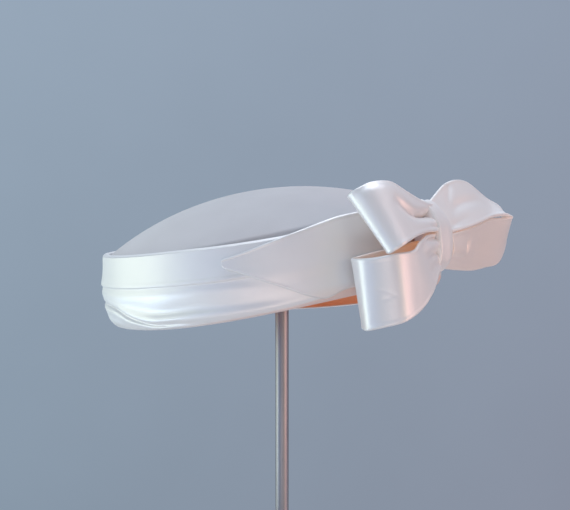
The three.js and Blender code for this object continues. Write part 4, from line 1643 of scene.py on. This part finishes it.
@dataclass
class Studio:
    """The camera, the lights, the pale table top and the blue-grey backdrop.

    Args:
        camera_place: where the camera stands.
        camera_pitch: how far it looks down.
        camera_heading: its turn about the upright, from looking along +Y.
        lens: its focal length in millimetres.
        sensor: its sensor's width in millimetres.
        floor_radius: of the pale round table top that the stand is on.
        floor_depth: its thickness.
        floor_gap: how far it lies below the foot.
        floor_bevel: rounding of its edges.
        backdrop_left: the backdrop's colours on the left, from low to high.
        backdrop_right: the same on the right.
        backdrop_heights: between which heights of a direction of length one they change.
        backdrop_side: how far to the left and right of such a direction one side turns into the other.
        lights: the lights.
    """

    camera_place: tuple[float, float, float] = (0.62809, 0.40988, 0.2928)
    camera_pitch: float = math.radians(2.57)
    camera_heading: float = math.radians(123)
    lens: float = 85.0
    sensor: float = 36.0
    floor_radius: float = 0.46
    floor_depth: float = 20 * MM
    floor_gap: float = 0.2 * MM
    floor_bevel: float = 4 * MM
    backdrop_left: tuple[Colour, Colour] = ((0.245, 0.313, 0.392), (0.312, 0.392, 0.49))
    backdrop_right: tuple[Colour, Colour] = ((0.25, 0.279, 0.352), (0.286, 0.34, 0.431))
    backdrop_heights: tuple[float, float] = (-0.24, 0.14)
    backdrop_side: float = 0.22
    lights: tuple[SoftBox, ...] = (
        SoftBox(LightRole.KEY, (0.62, -1.1, 0.3), 1.0, 5.9, (0.9, 1.0, 0.74)),
        SoftBox(LightRole.SIDE, (1.2, -0.5, 0.3), 1.0, 1.7, (0.34, 0.45, 1.0)),
        SoftBox(LightRole.LOW, (0.7, -0.9, -0.4), 0.6, 7.2, (0.65, 0.83, 1.0)),
        SoftBox(LightRole.TOP, (-0.1, 0.0, 1.5), 1.0, 11.9, (0.84, 0.9, 1.0)),
        SoftBox(LightRole.WARM, (0.3, 1.3, 0.2), 0.8, 1.6, (1.0, 0.78, 0.42)),
        SoftBox(LightRole.BACK, (-0.25, 1.3, 0.2), 0.8, 5.0, (1.0, 0.57, 0.49)),
        SoftBox(LightRole.NEAR, (1.25, 0.7, -0.3), 0.8, 4.0, (1.0, 0.84, 0.79)),
    )

    def build_camera(self) -> bpy.types.Object:
        """The camera, made the scene's own."""
        data = bpy.data.cameras.new("photo_camera")
        data.lens, data.sensor_width = self.lens, self.sensor
        camera = bpy.data.objects.new("photo_camera", data)
        camera.location = self.camera_place
        camera.rotation_euler = (math.pi / 2 - self.camera_pitch, 0, self.camera_heading)
        bpy.context.scene.collection.objects.link(camera)
        bpy.context.scene.camera = camera
        return camera

    def build_floor(self) -> bpy.types.Object:
        """The pale round table top."""
        top = -self.floor_gap
        floor = Stand.cylinder("floor", self.floor_radius, top - self.floor_depth, top, 128)
        round_edges(floor, self.floor_bevel, 4)
        bpy.ops.object.shade_smooth_by_angle(angle=SMOOTH_BELOW)
        floor.data.materials.append(TABLE_TOP.material())
        return floor

    def build_backdrop(self) -> bpy.types.World:
        """The blue-grey surroundings, a little darker towards the floor and to the right."""
        world = bpy.data.worlds.new("blue_grey_surroundings")
        world.use_nodes = True
        bpy.context.scene.world = world
        nodes = Nodes(world.node_tree)
        direction = nodes.add("ShaderNodeTexCoord").outputs["Generated"]
        right = (math.cos(self.camera_heading), math.sin(self.camera_heading), 0.0)
        dot = {"operation": "DOT_PRODUCT"}
        side = nodes.add("ShaderNodeVectorMath", dot, vector=direction, vector__1=right).outputs["Value"]
        over = nodes.part(side, -self.backdrop_side, self.backdrop_side)
        height = nodes.add("ShaderNodeSeparateXYZ", vector=direction).outputs["Z"]
        up = nodes.part(height, *self.backdrop_heights)
        left_colour, right_colour = (
            nodes.ramp(up, (0.0, low), (1.0, high)) for low, high in (self.backdrop_left, self.backdrop_right)
        )
        mixed = nodes.add("ShaderNodeMix", {"data_type": "RGBA"}, factor=over, a=left_colour, b=right_colour)
        strength = nodes.about(nodes.noise(direction, scale=9.0, detail=3.0), 1.0, 0.04)
        background = nodes.add("ShaderNodeBackground", color=mixed.outputs["Result"], strength=strength)
        nodes.add("ShaderNodeOutputWorld", surface=background.outputs["Background"])
        return world

    def build(self) -> None:
        """Everything round the object, and the view transform that keeps plain colours."""
        self.build_camera()
        self.build_floor()
        self.build_backdrop()
        for light in self.lights:
            light.build()
        bpy.context.scene.view_settings.view_transform = "Standard"


def main() -> None:
    """Builds the scene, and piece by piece."""
    logging.basicConfig(level=logging.INFO, format="%(message)s")
    Studio().build()
    hat = HatShape()
    band = SideBand(hat)
    strip = WrapStrip(hat, band)
    pieces = [Crown(hat, band).build(), band.build(), strip.build()]
    pieces += Bow(hat, strip).build()
    pieces += Stand().build()
    for piece in pieces:
        log.info("%s: %d faces", piece.name, len(piece.data.polygons))


if __name__ == "__main__":
    main()
